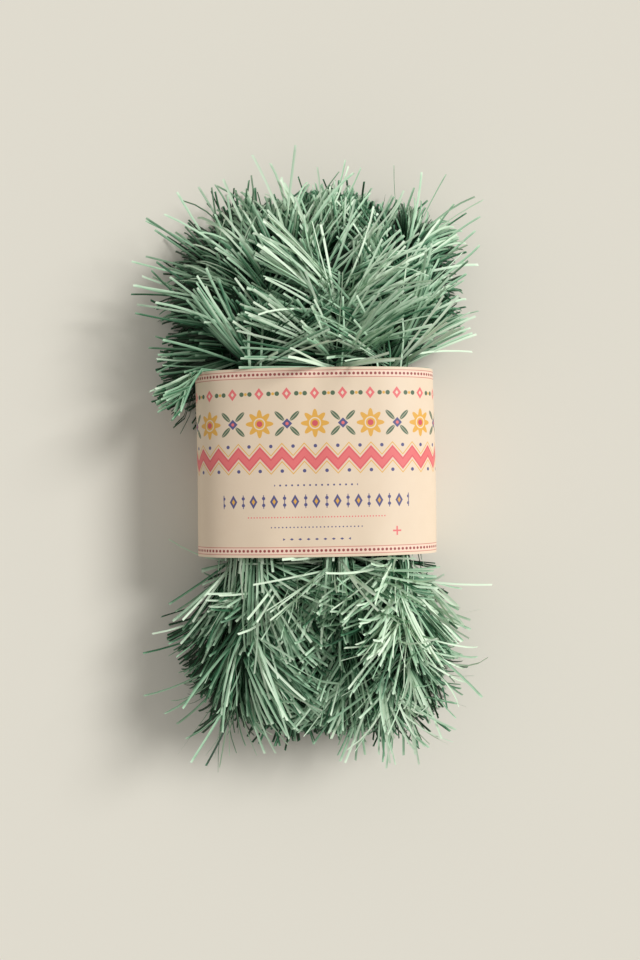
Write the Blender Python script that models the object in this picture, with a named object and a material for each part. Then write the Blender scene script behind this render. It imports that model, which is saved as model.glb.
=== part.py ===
"""A paper fringe garland, folded into a hank and held by a printed paper band.

The hank lies on its back. +Y runs along it, +X goes to its right and +Z comes up
through the printed front. The origin is on the back of the band, at its centre.
Sizes are in metres.
"""

import math

import bmesh
import bpy
import numpy as np
from mathutils.bvhtree import BVHTree

# The garland at its real size.
GARLAND_LENGTH = 2.743
STRAND_LENGTH = 0.050
CORE_DIAMETER = 0.003

# The printed paper band, outside.
BAND_WIDTH = 0.125
BAND_DEPTH = 0.065
BAND_HEIGHT = 0.095
BAND_WALL = 0.0004
BAND_OVERLAP = 0.014
SEAM_STEP = 0.012
BACK_PRESS = 0.002
FRONT_EXPONENT = 2.5
BACK_EXPONENT = 3.0
BAND_STATIONS = 72
PAPER_FIT = 0.0003

# The adhesive tape that closes the band's overlap.
TAPE_WIDTH = 0.008
TAPE_THICKNESS = 0.0002
TAPE_MARGIN = 0.006
TAPE_FIT = 0.00005

# The heading of the fringe, wrapped round the core cord.
HEADING_SIZE = 0.0066
BORE_FIT = 0.0003
SLICE_GAP = 0.0003

# One lock of fringe: a strip with a wide root on the heading.
LOCK_WIDTH = 0.0050
LOCK_THICKNESS = 0.0010
LOCK_GAP = 0.0006
FLOOR_GAP = 0.0005

# How the hank is folded: each run's place at the ends, across and up, as shares
# of the band's bore, in the order in which the garland visits them.
RUN_SHARES = (
    ("inner_left", -0.26, 0.00),
    ("side_left", -0.77, 0.00),
    ("front_left", -0.60, 0.62),
    ("front_middle", 0.21, 0.70),
    ("front_right", 0.76, 0.52),
    ("side_right", 0.81, -0.06),
    ("inner_right", 0.26, 0.00),
    ("back_far_right", 0.69, -0.58),
    ("back_right", 0.35, -0.62),
    ("back_middle", 0.00, -0.62),
    ("back_left", -0.35, -0.62),
    ("back_far_left", -0.69, -0.56),
)
GROWING_ORDER = (3, 2, 4, 1, 5, 11, 7, 10, 8, 9, 0, 6)
WAIST_SHARE = 0.82
BEND_SHARES = (0.0, 0.5, 1.0)
ROWS_PER_BEND = 3
FOLD_SPANS = 3
WAIST_SPANS = 4

# How the locks lie: the share of a lock's way that goes along the hank, next to
# the band and at the fold, then other ways and lengths for where there is no room.
LEAN_AT_BAND_SHARE = 0.28
LEAN_AT_FOLD_SHARE = 0.72
RISE_SHARE = 0.60
LEAN_CHANGE_SHARES = (0.0, 0.1, -0.1, 0.2, -0.2)
TURN_CHANGES = (0.0, math.radians(18), math.radians(-18), math.radians(36), math.radians(-36))
LENGTH_SHARES = (1.0, 0.8, 0.6, 0.42)
WAIST_LENGTH_SHARES = (0.66, 0.5)
WAIST_RISE_SHARES = (1.0, 0.6, 0.35)
ROOT_SHARE = 0.02
STEEP_SHARE = 0.2
BUNDLE_TOP = 0.088

# The hank's rounded outline, seen from the front. Locks that would pass it hang
# down inside it, but for one stray in each STRAY_PERIOD locks.
OUTLINE_HALF_WIDTH = 0.087
OUTLINE_HALF_LENGTH = 0.150
OUTLINE_EXPONENT = 2.6
STRAY_PERIOD = 5

# The ends of the core cord, each tied to a hanging loop.
END_SETBACK = 0.034
TAIL_LENGTH = 0.004
KNOT_DIAMETER = 0.0060
KNOT_LENGTH = 0.0060
KNOT_SEGMENTS = 10
KNOT_PROFILE_SHARES = ((0.0, -0.5), (0.35, -0.5), (0.5, -0.2), (0.5, 0.2), (0.35, 0.5), (0.0, 0.5))
WELD_DISTANCE = 0.00001
LOOP_LENGTH = 0.024
LOOP_WIDTH = 0.011
LOOP_CORD = 0.0016
LOOP_POINTS = 16
LOOP_OPENING = math.radians(50)
LEG_SPREAD_SHARE = 0.8

# Colours.
PAPER_GREEN = (0.30, 0.46, 0.31, 1.0)
CORD_GREEN = (0.12, 0.24, 0.14, 1.0)
BAND_CREAM = (0.86, 0.74, 0.58, 1.0)
TAPE_CLEAR = (0.78, 0.74, 0.66, 1.0)

# What follows from them.
CORE_RADIUS = CORE_DIAMETER / 2
HALF_HEIGHT = BAND_HEIGHT / 2
MIDDLE_Z = BAND_DEPTH / 2
BORE_HALF_WIDTH = BAND_WIDTH / 2 - BAND_WALL
BORE_HALF_DEPTH = BAND_DEPTH / 2 - BAND_WALL
SEAM_LIFT = BAND_WALL + TAPE_THICKNESS + 2 * TAPE_FIT
ALONG = np.array([0.0, 1.0, 0.0])
UP = np.array([0.0, 0.0, 1.0])
ACROSS = np.array([1.0, 0.0, 0.0])
SQUARE = ((1, 1), (-1, 1), (-1, -1), (1, -1))
HALVINGS = 50
PARALLEL_SHARE = 1e-9


def unit(vector):
    """The vector at length one."""
    return vector / np.linalg.norm(vector)


def material(name, colour, roughness):
    """A Principled material of one colour."""
    made = bpy.data.materials.new(name)
    made.use_nodes = True
    shader = made.node_tree.nodes["Principled BSDF"]
    shader.inputs["Base Color"].default_value = colour
    shader.inputs["Roughness"].default_value = roughness
    shader.inputs["Metallic"].default_value = 0.0
    made.diffuse_color = colour
    return made


def add_object(name, data, finish):
    """Links a new object that shows data with the given material."""
    made = bpy.data.objects.new(name, data)
    data.materials.append(finish)
    bpy.context.scene.collection.objects.link(made)
    return made


def mesh_object(name, shape, finish):
    """Turns a bmesh into an object."""
    bmesh.ops.recalc_face_normals(shape, faces=shape.faces)
    mesh = bpy.data.meshes.new(name)
    shape.to_mesh(mesh)
    shape.free()
    return add_object(name, mesh, finish)


def tube(name, points, radius, resolution, finish, closed=False):
    """A cord of round section along points."""
    curve = bpy.data.curves.new(name, "CURVE")
    curve.dimensions = "3D"
    curve.bevel_depth = radius
    curve.bevel_resolution = resolution
    curve.use_fill_caps = True
    spline = curve.splines.new("POLY")
    spline.points.add(len(points) - 1)
    for slot, point in zip(spline.points, points):
        slot.co = (*point, 1.0)
    spline.use_cyclic_u = closed
    return add_object(name, curve, finish)


def band_outline(angle, inset=0.0):
    """A point of the band's outline, across and up, seen along the hank.

    The front is a flattened oval. The back is squarer and pressed flat.
    """
    across, up = math.cos(angle), math.sin(angle)
    front = up >= 0
    half_width = BAND_WIDTH / 2 - inset
    half_depth = BAND_DEPTH / 2 - inset + (0.0 if front else BACK_PRESS)
    exponent = FRONT_EXPONENT if front else BACK_EXPONENT
    size = (abs(across) / half_width) ** exponent + (abs(up) / half_depth) ** exponent
    reach = size ** (-1 / exponent)
    return across * reach, max(MIDDLE_Z + up * reach, inset)


def strip_stations():
    """The band's paper strip, as pairs of outer and inner points across and up.

    It starts inside the overlap on the back, steps out to the outline beside it,
    runs once round and ends over its own start.
    """
    half_seam = BAND_OVERLAP / 2
    edge = half_seam + SEAM_STEP
    turns = [-math.pi / 2 - 2 * math.pi * i / BAND_STATIONS for i in range(1, BAND_STATIONS)]
    ring = [(band_outline(turn), band_outline(turn, BAND_WALL)) for turn in turns]
    kept = [(outer, inner) for outer, inner in ring if outer[1] > 0 or abs(outer[0]) > edge]
    lift = ((half_seam, SEAM_LIFT), (-half_seam, SEAM_LIFT), (-edge, 0.0))
    start = [((x, z), (x, z + BAND_WALL)) for x, z in lift]
    end = [((x, 0.0), (x, BAND_WALL)) for x in (edge, half_seam, -half_seam)]
    return start + kept + end


def swept_strip(name, stations, half_length, finish):
    """A solid strip through pairs of points, half_length each way along the hank."""
    shape = bmesh.new()
    rings = []
    for outer, inner in stations:
        corners = ((outer, -1), (outer, 1), (inner, 1), (inner, -1))
        rings.append([shape.verts.new((p[0], way * half_length, p[1])) for p, way in corners])
    for before, after in zip(rings, rings[1:]):
        for side in range(4):
            turn = (side + 1) % 4
            shape.faces.new((before[side], after[side], after[turn], before[turn]))
    shape.faces.new(rings[0])
    shape.faces.new(reversed(rings[-1]))
    return mesh_object(name, shape, finish)


def build_band(paper, adhesive):
    """The printed paper band and the tape that holds its overlap shut."""
    swept_strip("belly_band", strip_stations(), HALF_HEIGHT, paper)
    under = BAND_WALL + TAPE_FIT
    edges = (TAPE_WIDTH / 2, -TAPE_WIDTH / 2)
    stations = [((x, under), (x, under + TAPE_THICKNESS)) for x in edges]
    swept_strip("seam_tape", stations, HALF_HEIGHT - TAPE_MARGIN, adhesive)


def run_place(run, share):
    """Where a run lies across and up, for a share of its spread at the ends."""
    _, across, up = RUN_SHARES[run]
    x = across * BORE_HALF_WIDTH * share
    z = MIDDLE_Z + up * BORE_HALF_DEPTH * share
    return np.array([x, 0.0, z])


def fold_radius(run, neighbour):
    """Half the distance between two neighbouring runs at the ends of the hank."""
    return float(np.linalg.norm(run_place(neighbour, 1.0) - run_place(run, 1.0))) / 2


def half_run(run, way, neighbour, reach):
    """The bends of one half of a run, from the band's edge to the top of the fold.

    way is the end, 1 for the top and -1 for the bottom. With no neighbour to fold
    over to, the run stops short of the fold.
    """
    short = END_SETBACK if neighbour is None else fold_radius(run, neighbour)
    straight = reach - short
    points = []
    for share in BEND_SHARES:
        distance = HALF_HEIGHT + (straight - HALF_HEIGHT) * share
        ease = share * share * (3 - 2 * share)
        spread = WAIST_SHARE + (1 - WAIST_SHARE) * ease
        points.append(run_place(run, spread) + ALONG * way * distance)
    if neighbour is None:
        return points
    here, there = run_place(run, 1.0), run_place(neighbour, 1.0)
    toward = unit(there - here)
    centre = (here + there) / 2 + ALONG * way * straight
    for i in range(1, FOLD_SPANS + 1):
        turn = math.pi / 2 * i / FOLD_SPANS
        offset = ALONG * way * math.sin(turn) - toward * math.cos(turn)
        points.append(centre + offset * short)
    return points


def halves(reach):
    """For each run, the end it comes in from and its two halves, in and out."""
    found = []
    last = len(RUN_SHARES) - 1
    for run in range(len(RUN_SHARES)):
        way_in = -1 if run % 2 == 0 else 1
        before = run - 1 if run > 0 else None
        after = run + 1 if run < last else None
        coming = half_run(run, way_in, before, reach)
        going = half_run(run, -way_in, after, reach)
        found.append((way_in, coming, going))
    return found


def core_route(reach):
    """The core cord's points from end to end, with its two short tails."""
    route = []
    for _, coming, going in halves(reach):
        inward = coming[::-1]
        route += inward[1:] if route else inward
        route += going
    tails = [end + ALONG * math.copysign(TAIL_LENGTH, end[1]) for end in (route[0], route[-1])]
    return [tails[0], *route, tails[1]]


def route_length(route):
    """The length of a route, point to point."""
    return float(np.linalg.norm(np.diff(np.array(route), axis=0), axis=1).sum())


def reach_for_length(length):
    """How far the folds reach from the middle, so that the hank holds the length."""
    low, high = HALF_HEIGHT + BAND_WIDTH / 4, length / 2
    for _ in range(HALVINGS):
        middle = (low + high) / 2
        if route_length(core_route(middle)) < length:
            low = middle
        else:
            high = middle
    return (low + high) / 2


def segment_gaps(start, end, starts, ends):
    """The least distance from one segment to each of several."""
    along, others, offset = end - start, ends - starts, start - starts
    a = float(along @ along)
    b = others @ along
    c = offset @ along
    e = (others * others).sum(1)
    f = (others * offset).sum(1)
    span = a * e - b * b
    s = np.divide(b * f - c * e, span, out=np.zeros_like(b), where=span > a * e * PARALLEL_SHARE)
    t = np.clip((b * np.clip(s, 0, 1) + f) / e, 0, 1)
    s = np.clip((b * t - c) / a, 0, 1)
    near = start + s[:, None] * along - (starts + t[:, None] * others)
    return np.linalg.norm(near, axis=1)


def least_gap(route, diameter, skipped):
    """The least free gap between parts of a route that lie skipped or more apart."""
    points = np.array(route)
    walked = np.concatenate(([0.0], np.cumsum(np.linalg.norm(np.diff(points, axis=0), axis=1))))
    least = math.inf
    for i in range(len(points) - 1):
        far = [j for j in range(i + 1, len(points) - 1) if walked[j] - walked[i + 1] > skipped]
        if far:
            gaps = segment_gaps(points[i], points[i + 1], points[far], points[[j + 1 for j in far]])
            least = min(least, float(gaps.min()))
    return least - diameter


def box_faces(near, far):
    """The six faces of a box between two squares of corners, and its corners."""
    sides = [(i, (i + 1) % 4, 4 + (i + 1) % 4, 4 + i) for i in range(4)]
    return [*near, *far], [*sides, (0, 1, 2, 3), (4, 5, 6, 7)]


def tree_of(boxes):
    """A tree of the faces of many boxes, to test others against."""
    corners, faces = [], []
    for near, far in boxes:
        points, sides = box_faces(near, far)
        start = len(corners)
        corners += [tuple(p) for p in points]
        faces += [tuple(start + i for i in side) for side in sides]
    return BVHTree.FromPolygons(corners, faces)


class Room:
    """The space that headings, cords and locks already take."""

    def __init__(self):
        self.boxes, self.fresh = [], []
        self.tree, self.fresh_tree = None, None

    def settle(self):
        """Puts all that was taken so far into the main tree."""
        self.boxes += self.fresh
        self.fresh, self.fresh_tree = [], None
        self.tree = tree_of(self.boxes)

    def take(self, near, far):
        """Fills the space of one box."""
        self.fresh.append((near, far))
        self.fresh_tree = tree_of(self.fresh)

    def size(self):
        """How many boxes are taken."""
        return len(self.boxes) + len(self.fresh)

    def is_clear(self, near, far):
        """Whether a box crosses nothing."""
        tested = tree_of([(near, far)])
        trees = [tree for tree in (self.tree, self.fresh_tree) if tree is not None]
        return not any(tree.overlap(tested) for tree in trees)


def route_rings(points, half_size, normals):
    """Square rings along a route, mitred at its bends, and each span's two axes.

    normals gives the planes in which the first and the last ring lie.
    """
    ways = [unit(b - a) for a, b in zip(points, points[1:])]
    side = unit(ACROSS - ways[0] * float(ACROSS @ ways[0]))
    rings, axes = [], []
    for i, point in enumerate(points):
        way = ways[min(i, len(ways) - 1)]
        if 0 < i < len(ways):
            before = ways[i - 1]
            side = side - (before + way) * float(side @ way) / (1 + float(before @ way))
        top = np.cross(side, way)
        plane = normals[0] if i == 0 else normals[1] if i == len(points) - 1 else way + ways[i - 1]
        ring = []
        for a, b in SQUARE:
            offset = (side * a + top * b) * half_size
            ring.append(point + offset - way * float(offset @ plane) / float(way @ plane))
        rings.append(ring)
        axes.append((side, top, way))
    return rings, axes[:-1]


class Slice:
    """A slice of the fringe's heading, on which locks of fringe stand."""

    def __init__(self, name, bends, rows, normals):
        self.name = name
        bends = [np.array(point) for point in bends]
        for end, inner, plane in ((0, 1, normals[0]), (-1, -2, normals[1])):
            way = unit(bends[inner] - bends[end])
            bends[end] = bends[end] + way * SLICE_GAP / 2 / abs(float(way @ plane))
        self.points = [bends[0]]
        for count, start, end in zip(rows, bends, bends[1:]):
            self.points += [start + (end - start) * (i + 1) / count for i in range(count)]
        self.shape = bmesh.new()
        self.corners, self.axes = route_rings(self.points, HEADING_SIZE / 2, normals)
        bore_corners, _ = route_rings(bends, CORE_RADIUS + BORE_FIT, normals)
        rings = [self.add_ring(ring) for ring in self.corners]
        bores = [self.add_ring(ring) for ring in bore_corners]
        self.walls = [self.join(a, b) for a, b in zip(rings, rings[1:])]
        for a, b in zip(bores, bores[1:]):
            self.join(a, b)
        self.join(rings[0], bores[0])
        self.join(rings[-1], bores[-1])
        self.locks = 0

    def add_ring(self, corners):
        """The vertices of one ring."""
        return [self.shape.verts.new(tuple(corner)) for corner in corners]

    def join(self, before, after):
        """The faces between two rings."""
        faces = []
        for i in range(4):
            turn = (i + 1) % 4
            faces.append(self.shape.faces.new((before[i], before[turn], after[turn], after[i])))
        return faces

    def fill(self, room):
        """Tells the room where the heading runs."""
        for near, far in zip(self.corners, self.corners[1:]):
            room.take(near, far)

    def root(self, row, face):
        """The corners of one face of the heading, in order, and its outward way."""
        near, far = self.corners[row], self.corners[row + 1]
        turn = (face + 1) % 4
        side, top, _ = self.axes[row]
        outward = (top, -side, -top, side)[face]
        return np.array([near[face], near[turn], far[turn], far[face]]), outward

    def lock_tip(self, corners, tip):
        """The corners of a lock's tip, in the order of its root's corners."""
        root = corners.mean(axis=0)
        way = unit(tip - root)
        flat = np.cross(way, UP)
        wide = unit(flat) if np.linalg.norm(flat) > STEEP_SHARE else unit(np.cross(way, ALONG))
        thick = np.cross(wide, way)
        ends = [tip + wide * LOCK_WIDTH / 2 * a + thick * LOCK_THICKNESS / 2 * b for a, b in SQUARE]
        options = []
        for order in (ends, ends[::-1]):
            for shift in range(4):
                turned = np.array(order[shift:] + order[:shift])
                options.append((float(((turned - tip - corners + root) ** 2).sum()), turned))
        return min(options, key=lambda option: option[0])[1]

    def try_lock(self, room, row, face, tip):
        """Grows a lock from a face to a tip, if there is room for it."""
        corners, _ = self.root(row, face)
        ends = self.lock_tip(corners, tip)
        root = corners.mean(axis=0)
        beyond = unit(tip - root) * LOCK_GAP
        swell = LOCK_GAP * math.sqrt(2)
        grown_ends = tip + np.array([(end - tip) + unit(end - tip) * swell for end in ends]) + beyond
        start = corners + (grown_ends - corners) * ROOT_SHARE
        if not room.is_clear(list(start), list(grown_ends)):
            return False
        wall = self.walls[row][face]
        made = bmesh.ops.extrude_discrete_faces(self.shape, faces=[wall])["faces"][0]
        for vertex in made.verts:
            nearest = int(np.argmin(((corners - np.array(vertex.co)) ** 2).sum(axis=1)))
            vertex.co = tuple(ends[nearest])
        room.take(list(corners), list(ends))
        self.locks += 1
        return True


def room_to_outline(root, flat):
    """How far a lock can reach level from its root before it leaves the outline."""
    low, high = 0.0, STRAND_LENGTH
    for _ in range(HALVINGS):
        middle = (low + high) / 2
        tip = root + flat * middle
        across = (abs(tip[0]) / OUTLINE_HALF_WIDTH) ** OUTLINE_EXPONENT
        along = (abs(tip[1]) / OUTLINE_HALF_LENGTH) ** OUTLINE_EXPONENT
        if across + along < 1:
            low = middle
        else:
            high = middle
    return low


def within_bundle(root, way, length, stray):
    """The tip of a lock that keeps off the floor and under the bundle's top.

    It hangs down where it would pass the hank's outline, unless it is a stray.
    """
    low = FLOOR_GAP + LOCK_WIDTH / 2 - root[2]
    height = min(max(way[2] * length, low), BUNDLE_TOP - root[2])
    flat = unit(np.array([way[0], way[1], 0.0]))
    level = math.sqrt(max(length * length - height * height, 0.0))
    most = room_to_outline(root, flat)
    if level > most and not stray:
        level = most
        height = max(low, -math.sqrt(length * length - most * most))
    return root + flat * level + UP * height


def free_ways(outward, way, share):
    """The ways that a lock may take from a free run, best first."""
    lean = LEAN_AT_BAND_SHARE + (LEAN_AT_FOLD_SHARE - LEAN_AT_BAND_SHARE) * share
    for length in LENGTH_SHARES:
        for turn in TURN_CHANGES:
            x = outward[0] * math.cos(turn) - outward[2] * math.sin(turn)
            z = outward[0] * math.sin(turn) + outward[2] * math.cos(turn)
            out = np.array([x, outward[1], z * RISE_SHARE])
            for change in LEAN_CHANGE_SHARES:
                leaning = min(lean + change, 1.0)
                yield unit(out * (1 - leaning) + ALONG * way * leaning), STRAND_LENGTH * length


def is_in_bore(x, z):
    """Whether a point across and up lies within the band's bore, with its fit."""
    inset = BAND_WALL + PAPER_FIT
    up = z - MIDDLE_Z
    front = up >= 0
    half_depth = BAND_DEPTH / 2 - inset + (0.0 if front else BACK_PRESS)
    exponent = FRONT_EXPONENT if front else BACK_EXPONENT
    size = (abs(x) / (BAND_WIDTH / 2 - inset)) ** exponent + (abs(up) / half_depth) ** exponent
    return size < 1 and z > SEAM_LIFT + BAND_WALL + PAPER_FIT


def room_to_band(root, outward):
    """How far a lock's tip can stand out from its root before it meets the band."""
    low, high = 0.0, BAND_WIDTH
    for _ in range(HALVINGS):
        middle = (low + high) / 2
        tip = root + outward * middle
        corners = [(tip[0] + a * LOCK_WIDTH / 2, tip[2] + b * LOCK_WIDTH / 2) for a, b in SQUARE]
        if all(is_in_bore(x, z) for x, z in corners):
            low = middle
        else:
            high = middle
    return low


def grow_free_locks(room, piece, way, reach):
    """Grows locks on alternate faces of a run's free half, from the band outwards."""
    for row in range(len(piece.points) - 1):
        for face in (0, 2) if row % 2 else (1, 3):
            corners, outward = piece.root(row, face)
            root = corners.mean(axis=0)
            share = (abs(root[1]) - HALF_HEIGHT) / (reach - HALF_HEIGHT)
            stray = room.size() % STRAY_PERIOD == STRAY_PERIOD // 2
            for direction, length in free_ways(outward, way, share):
                tip = within_bundle(root, direction, length, stray)
                if piece.try_lock(room, row, face, tip):
                    break


def grow_waist_locks(room, piece):
    """Grows the locks that the band presses flat, towards the nearer mouth."""
    for row in range(WAIST_SPANS):
        for face in (0, 2) if row % 2 else (1, 3):
            corners, outward = piece.root(row, face)
            root = corners.mean(axis=0)
            way = 1 if root[1] > 0 else -1
            most = room_to_band(root, outward)
            tips = []
            for length in WAIST_LENGTH_SHARES:
                for share in WAIST_RISE_SHARES:
                    rise = min(most, STRAND_LENGTH * length / 2) * share
                    level = math.sqrt((STRAND_LENGTH * length) ** 2 - rise * rise)
                    tips.append(root + outward * rise + ALONG * way * level)
            for tip in tips:
                if piece.try_lock(room, row, face, tip):
                    break


def build_knot(name, centre, finish):
    """A knot: a rounded body turned about the cord, flat where the cords enter."""
    shape = bmesh.new()
    points = [
        shape.verts.new((radius * KNOT_DIAMETER, height * KNOT_LENGTH, 0.0))
        for radius, height in KNOT_PROFILE_SHARES
    ]
    edges = [shape.edges.new(pair) for pair in zip(points, points[1:])]
    bmesh.ops.spin(
        shape,
        geom=points + edges,
        axis=(0.0, 1.0, 0.0),
        cent=(0.0, 0.0, 0.0),
        steps=KNOT_SEGMENTS,
        angle=2 * math.pi,
    )
    bmesh.ops.remove_doubles(shape, verts=shape.verts, dist=WELD_DISTANCE)
    bmesh.ops.translate(shape, verts=shape.verts, vec=tuple(centre))
    return mesh_object(name, shape, finish)


def loop_points(start, way):
    """A hanging loop's points: two legs out of the knot and a round end."""
    radius = LOOP_WIDTH / 2
    leg = LOOP_CORD * LEG_SPREAD_SHARE
    centre = start + ALONG * way * (LOOP_LENGTH - radius)
    points = [start - ACROSS * leg]
    for i in range(LOOP_POINTS):
        turn = LOOP_OPENING + (math.pi * 2 - 2 * LOOP_OPENING) * i / (LOOP_POINTS - 1)
        across = -math.sin(turn) * radius
        along = -math.cos(turn) * radius
        points.append(centre + ACROSS * across + ALONG * way * along)
    points.append(start + ACROSS * leg)
    return points


def build_end(room, route_end, label, cord_finish):
    """The knot on a cord's tail and the hanging loop behind it."""
    way = math.copysign(1, route_end[1])
    knot_centre = route_end + ALONG * way * (KNOT_LENGTH / 2 + PAPER_FIT)
    build_knot(f"end_knot_{label}", knot_centre, cord_finish)
    start = knot_centre + ALONG * way * (KNOT_LENGTH / 2 + PAPER_FIT)
    points = loop_points(start, way)
    tube(f"hanging_loop_{label}", points, LOOP_CORD / 2, 1, cord_finish)
    last = start + ALONG * way * LOOP_LENGTH
    half = LOOP_WIDTH / 2 + LOOP_CORD / 2
    corners = [ACROSS * a * half + UP * b * KNOT_DIAMETER / 2 for a, b in SQUARE]
    room.take([route_end + corner for corner in corners], [last + corner for corner in corners])


def build_fringe(room, reach, finish):
    """The heading in slices, with its locks: three slices for each run."""
    slices = []
    for run, (way_in, coming, going) in enumerate(halves(reach)):
        label = RUN_SHARES[run][0]
        for way, bends in ((way_in, coming), (-way_in, going)):
            free = len(bends) - len(BEND_SHARES)
            rows = [ROWS_PER_BEND] * (len(BEND_SHARES) - 1) + [1] * free
            last = ALONG * way
            if free:
                step = bends[-1] - bends[len(BEND_SHARES) - 1]
                last = unit(step - ALONG * float(step @ ALONG))
            end = "top" if way > 0 else "bottom"
            piece = Slice(f"fringe_{label}_{end}", bends, rows, (ALONG * way, last))
            slices.append((run, way, piece))
        ends = (coming[0], going[0])
        piece = Slice(f"fringe_{label}_waist", ends, [WAIST_SPANS], (ALONG, ALONG))
        slices.append((run, 0, piece))
    for _, _, piece in slices:
        piece.fill(room)
    slices.sort(key=lambda entry: GROWING_ORDER.index(entry[0]))
    for _, way, piece in slices:
        room.settle()
        if way:
            grow_free_locks(room, piece, way, reach)
        else:
            grow_waist_locks(room, piece)
        mesh_object(piece.name, piece.shape, finish)
    return sum(piece.locks for _, _, piece in slices)


def main():
    """Builds the garland."""
    for old in list(bpy.data.objects):
        bpy.data.objects.remove(old)
    fringe_paper = material("fringe_paper", PAPER_GREEN, 0.6)
    cord_finish = material("core_cord", CORD_GREEN, 0.8)
    band_paper = material("band_paper", BAND_CREAM, 0.45)
    adhesive = material("adhesive_tape", TAPE_CLEAR, 0.3)
    reach = reach_for_length(GARLAND_LENGTH)
    route = core_route(reach)
    tube("core_cord", route, CORE_RADIUS, 1, cord_finish)
    build_band(band_paper, adhesive)
    room = Room()
    build_end(room, route[0], "first", cord_finish)
    build_end(room, route[-1], "last", cord_finish)
    locks = build_fringe(room, reach, fringe_paper)
    gap = least_gap(route, CORE_DIAMETER, math.pi * CORE_DIAMETER * 2)
    print(f"core cord: {route_length(route):.4f} m, least gap to itself {gap * 1000:.2f} mm")
    print(f"folds reach {reach * 1000:.1f} mm from the middle, {locks} locks of fringe")


if __name__ == "__main__":
    main()
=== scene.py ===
"""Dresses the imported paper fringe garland: its strands, its core and its printed band.

The fringe is drawn strand by strand along the folded core, the band is a printed
paper strip round the hank's waist, and a plain studio lights it from the upper right.
"""

import logging
import math
from dataclasses import dataclass, field, replace
from enum import Enum
from typing import Any

import bpy
import numpy as np
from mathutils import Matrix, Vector


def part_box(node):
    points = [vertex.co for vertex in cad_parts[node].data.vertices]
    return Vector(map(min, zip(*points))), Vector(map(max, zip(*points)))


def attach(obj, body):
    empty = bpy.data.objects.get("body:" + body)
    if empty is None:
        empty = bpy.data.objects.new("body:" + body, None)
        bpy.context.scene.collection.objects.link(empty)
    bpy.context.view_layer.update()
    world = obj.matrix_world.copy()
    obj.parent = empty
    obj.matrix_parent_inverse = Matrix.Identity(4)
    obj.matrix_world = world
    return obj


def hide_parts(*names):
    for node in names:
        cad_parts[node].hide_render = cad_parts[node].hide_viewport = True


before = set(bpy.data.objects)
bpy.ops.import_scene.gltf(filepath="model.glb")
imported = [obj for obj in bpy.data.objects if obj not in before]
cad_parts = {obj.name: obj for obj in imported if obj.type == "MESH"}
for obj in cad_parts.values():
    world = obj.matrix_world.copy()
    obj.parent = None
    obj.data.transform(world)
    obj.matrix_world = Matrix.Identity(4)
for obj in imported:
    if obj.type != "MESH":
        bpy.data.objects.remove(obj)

LOG = logging.getLogger("garland")
MM = 0.001
UV_NAME = "OFBake"
X_AXIS = np.array([1.0, 0.0, 0.0])
Y_AXIS = np.array([0.0, 1.0, 0.0])
Z_AXIS = np.array([0.0, 0.0, 1.0])

TINY = 1e-6

# Where a Mix node has its factor and its two colours, and where their mix.
MIX_INPUTS = (0, 6, 7)
MIX_OUTPUT = 2

# The slow changes along a ply: the shortest and longest wave in millimetres, and its share.
WANDER_WAVES = ((14, 24, 0.5), (30, 60, 0.6), (70, 120, 0.5))

Number = float | int
Colour = tuple[float, float, float, float]
Strands = tuple[np.ndarray, np.ndarray, np.ndarray]
Patch = tuple[np.ndarray, np.ndarray, np.ndarray]


def srgb(red: Number, green: Number, blue: Number) -> Colour:
    """Turns a colour of 0 to 255 a channel into linear light, by the sRGB standard's curve.

    Args:
        red: The red channel.
        green: The green channel.
        blue: The blue channel.

    Returns:
        The linear colour with full alpha.
    """
    shares = [channel / 255 for channel in (red, green, blue)]
    linear = [c / 12.92 if c <= 0.04045 else ((c + 0.055) / 1.055) ** 2.4 for c in shares]
    return linear[0], linear[1], linear[2], 1.0


def unit(vectors: np.ndarray) -> np.ndarray:
    """The vectors at length one, along their last axis."""
    return vectors / np.maximum(np.linalg.norm(vectors, axis=-1, keepdims=True), TINY ** 2)


def lerp(first: Any, second: Any, share: Any) -> Any:
    """The mix of two values."""
    return first + (second - first) * share


def shares(steps: int) -> list[float]:
    """Even shares from 0 to 1, in so many steps."""
    return [i / steps for i in range(steps + 1)]


def walked_along(line: np.ndarray) -> np.ndarray:
    """How far along a line each of its points lies."""
    return np.concatenate(([0.0], np.cumsum(np.linalg.norm(np.diff(line, axis=0), axis=1))))


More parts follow.
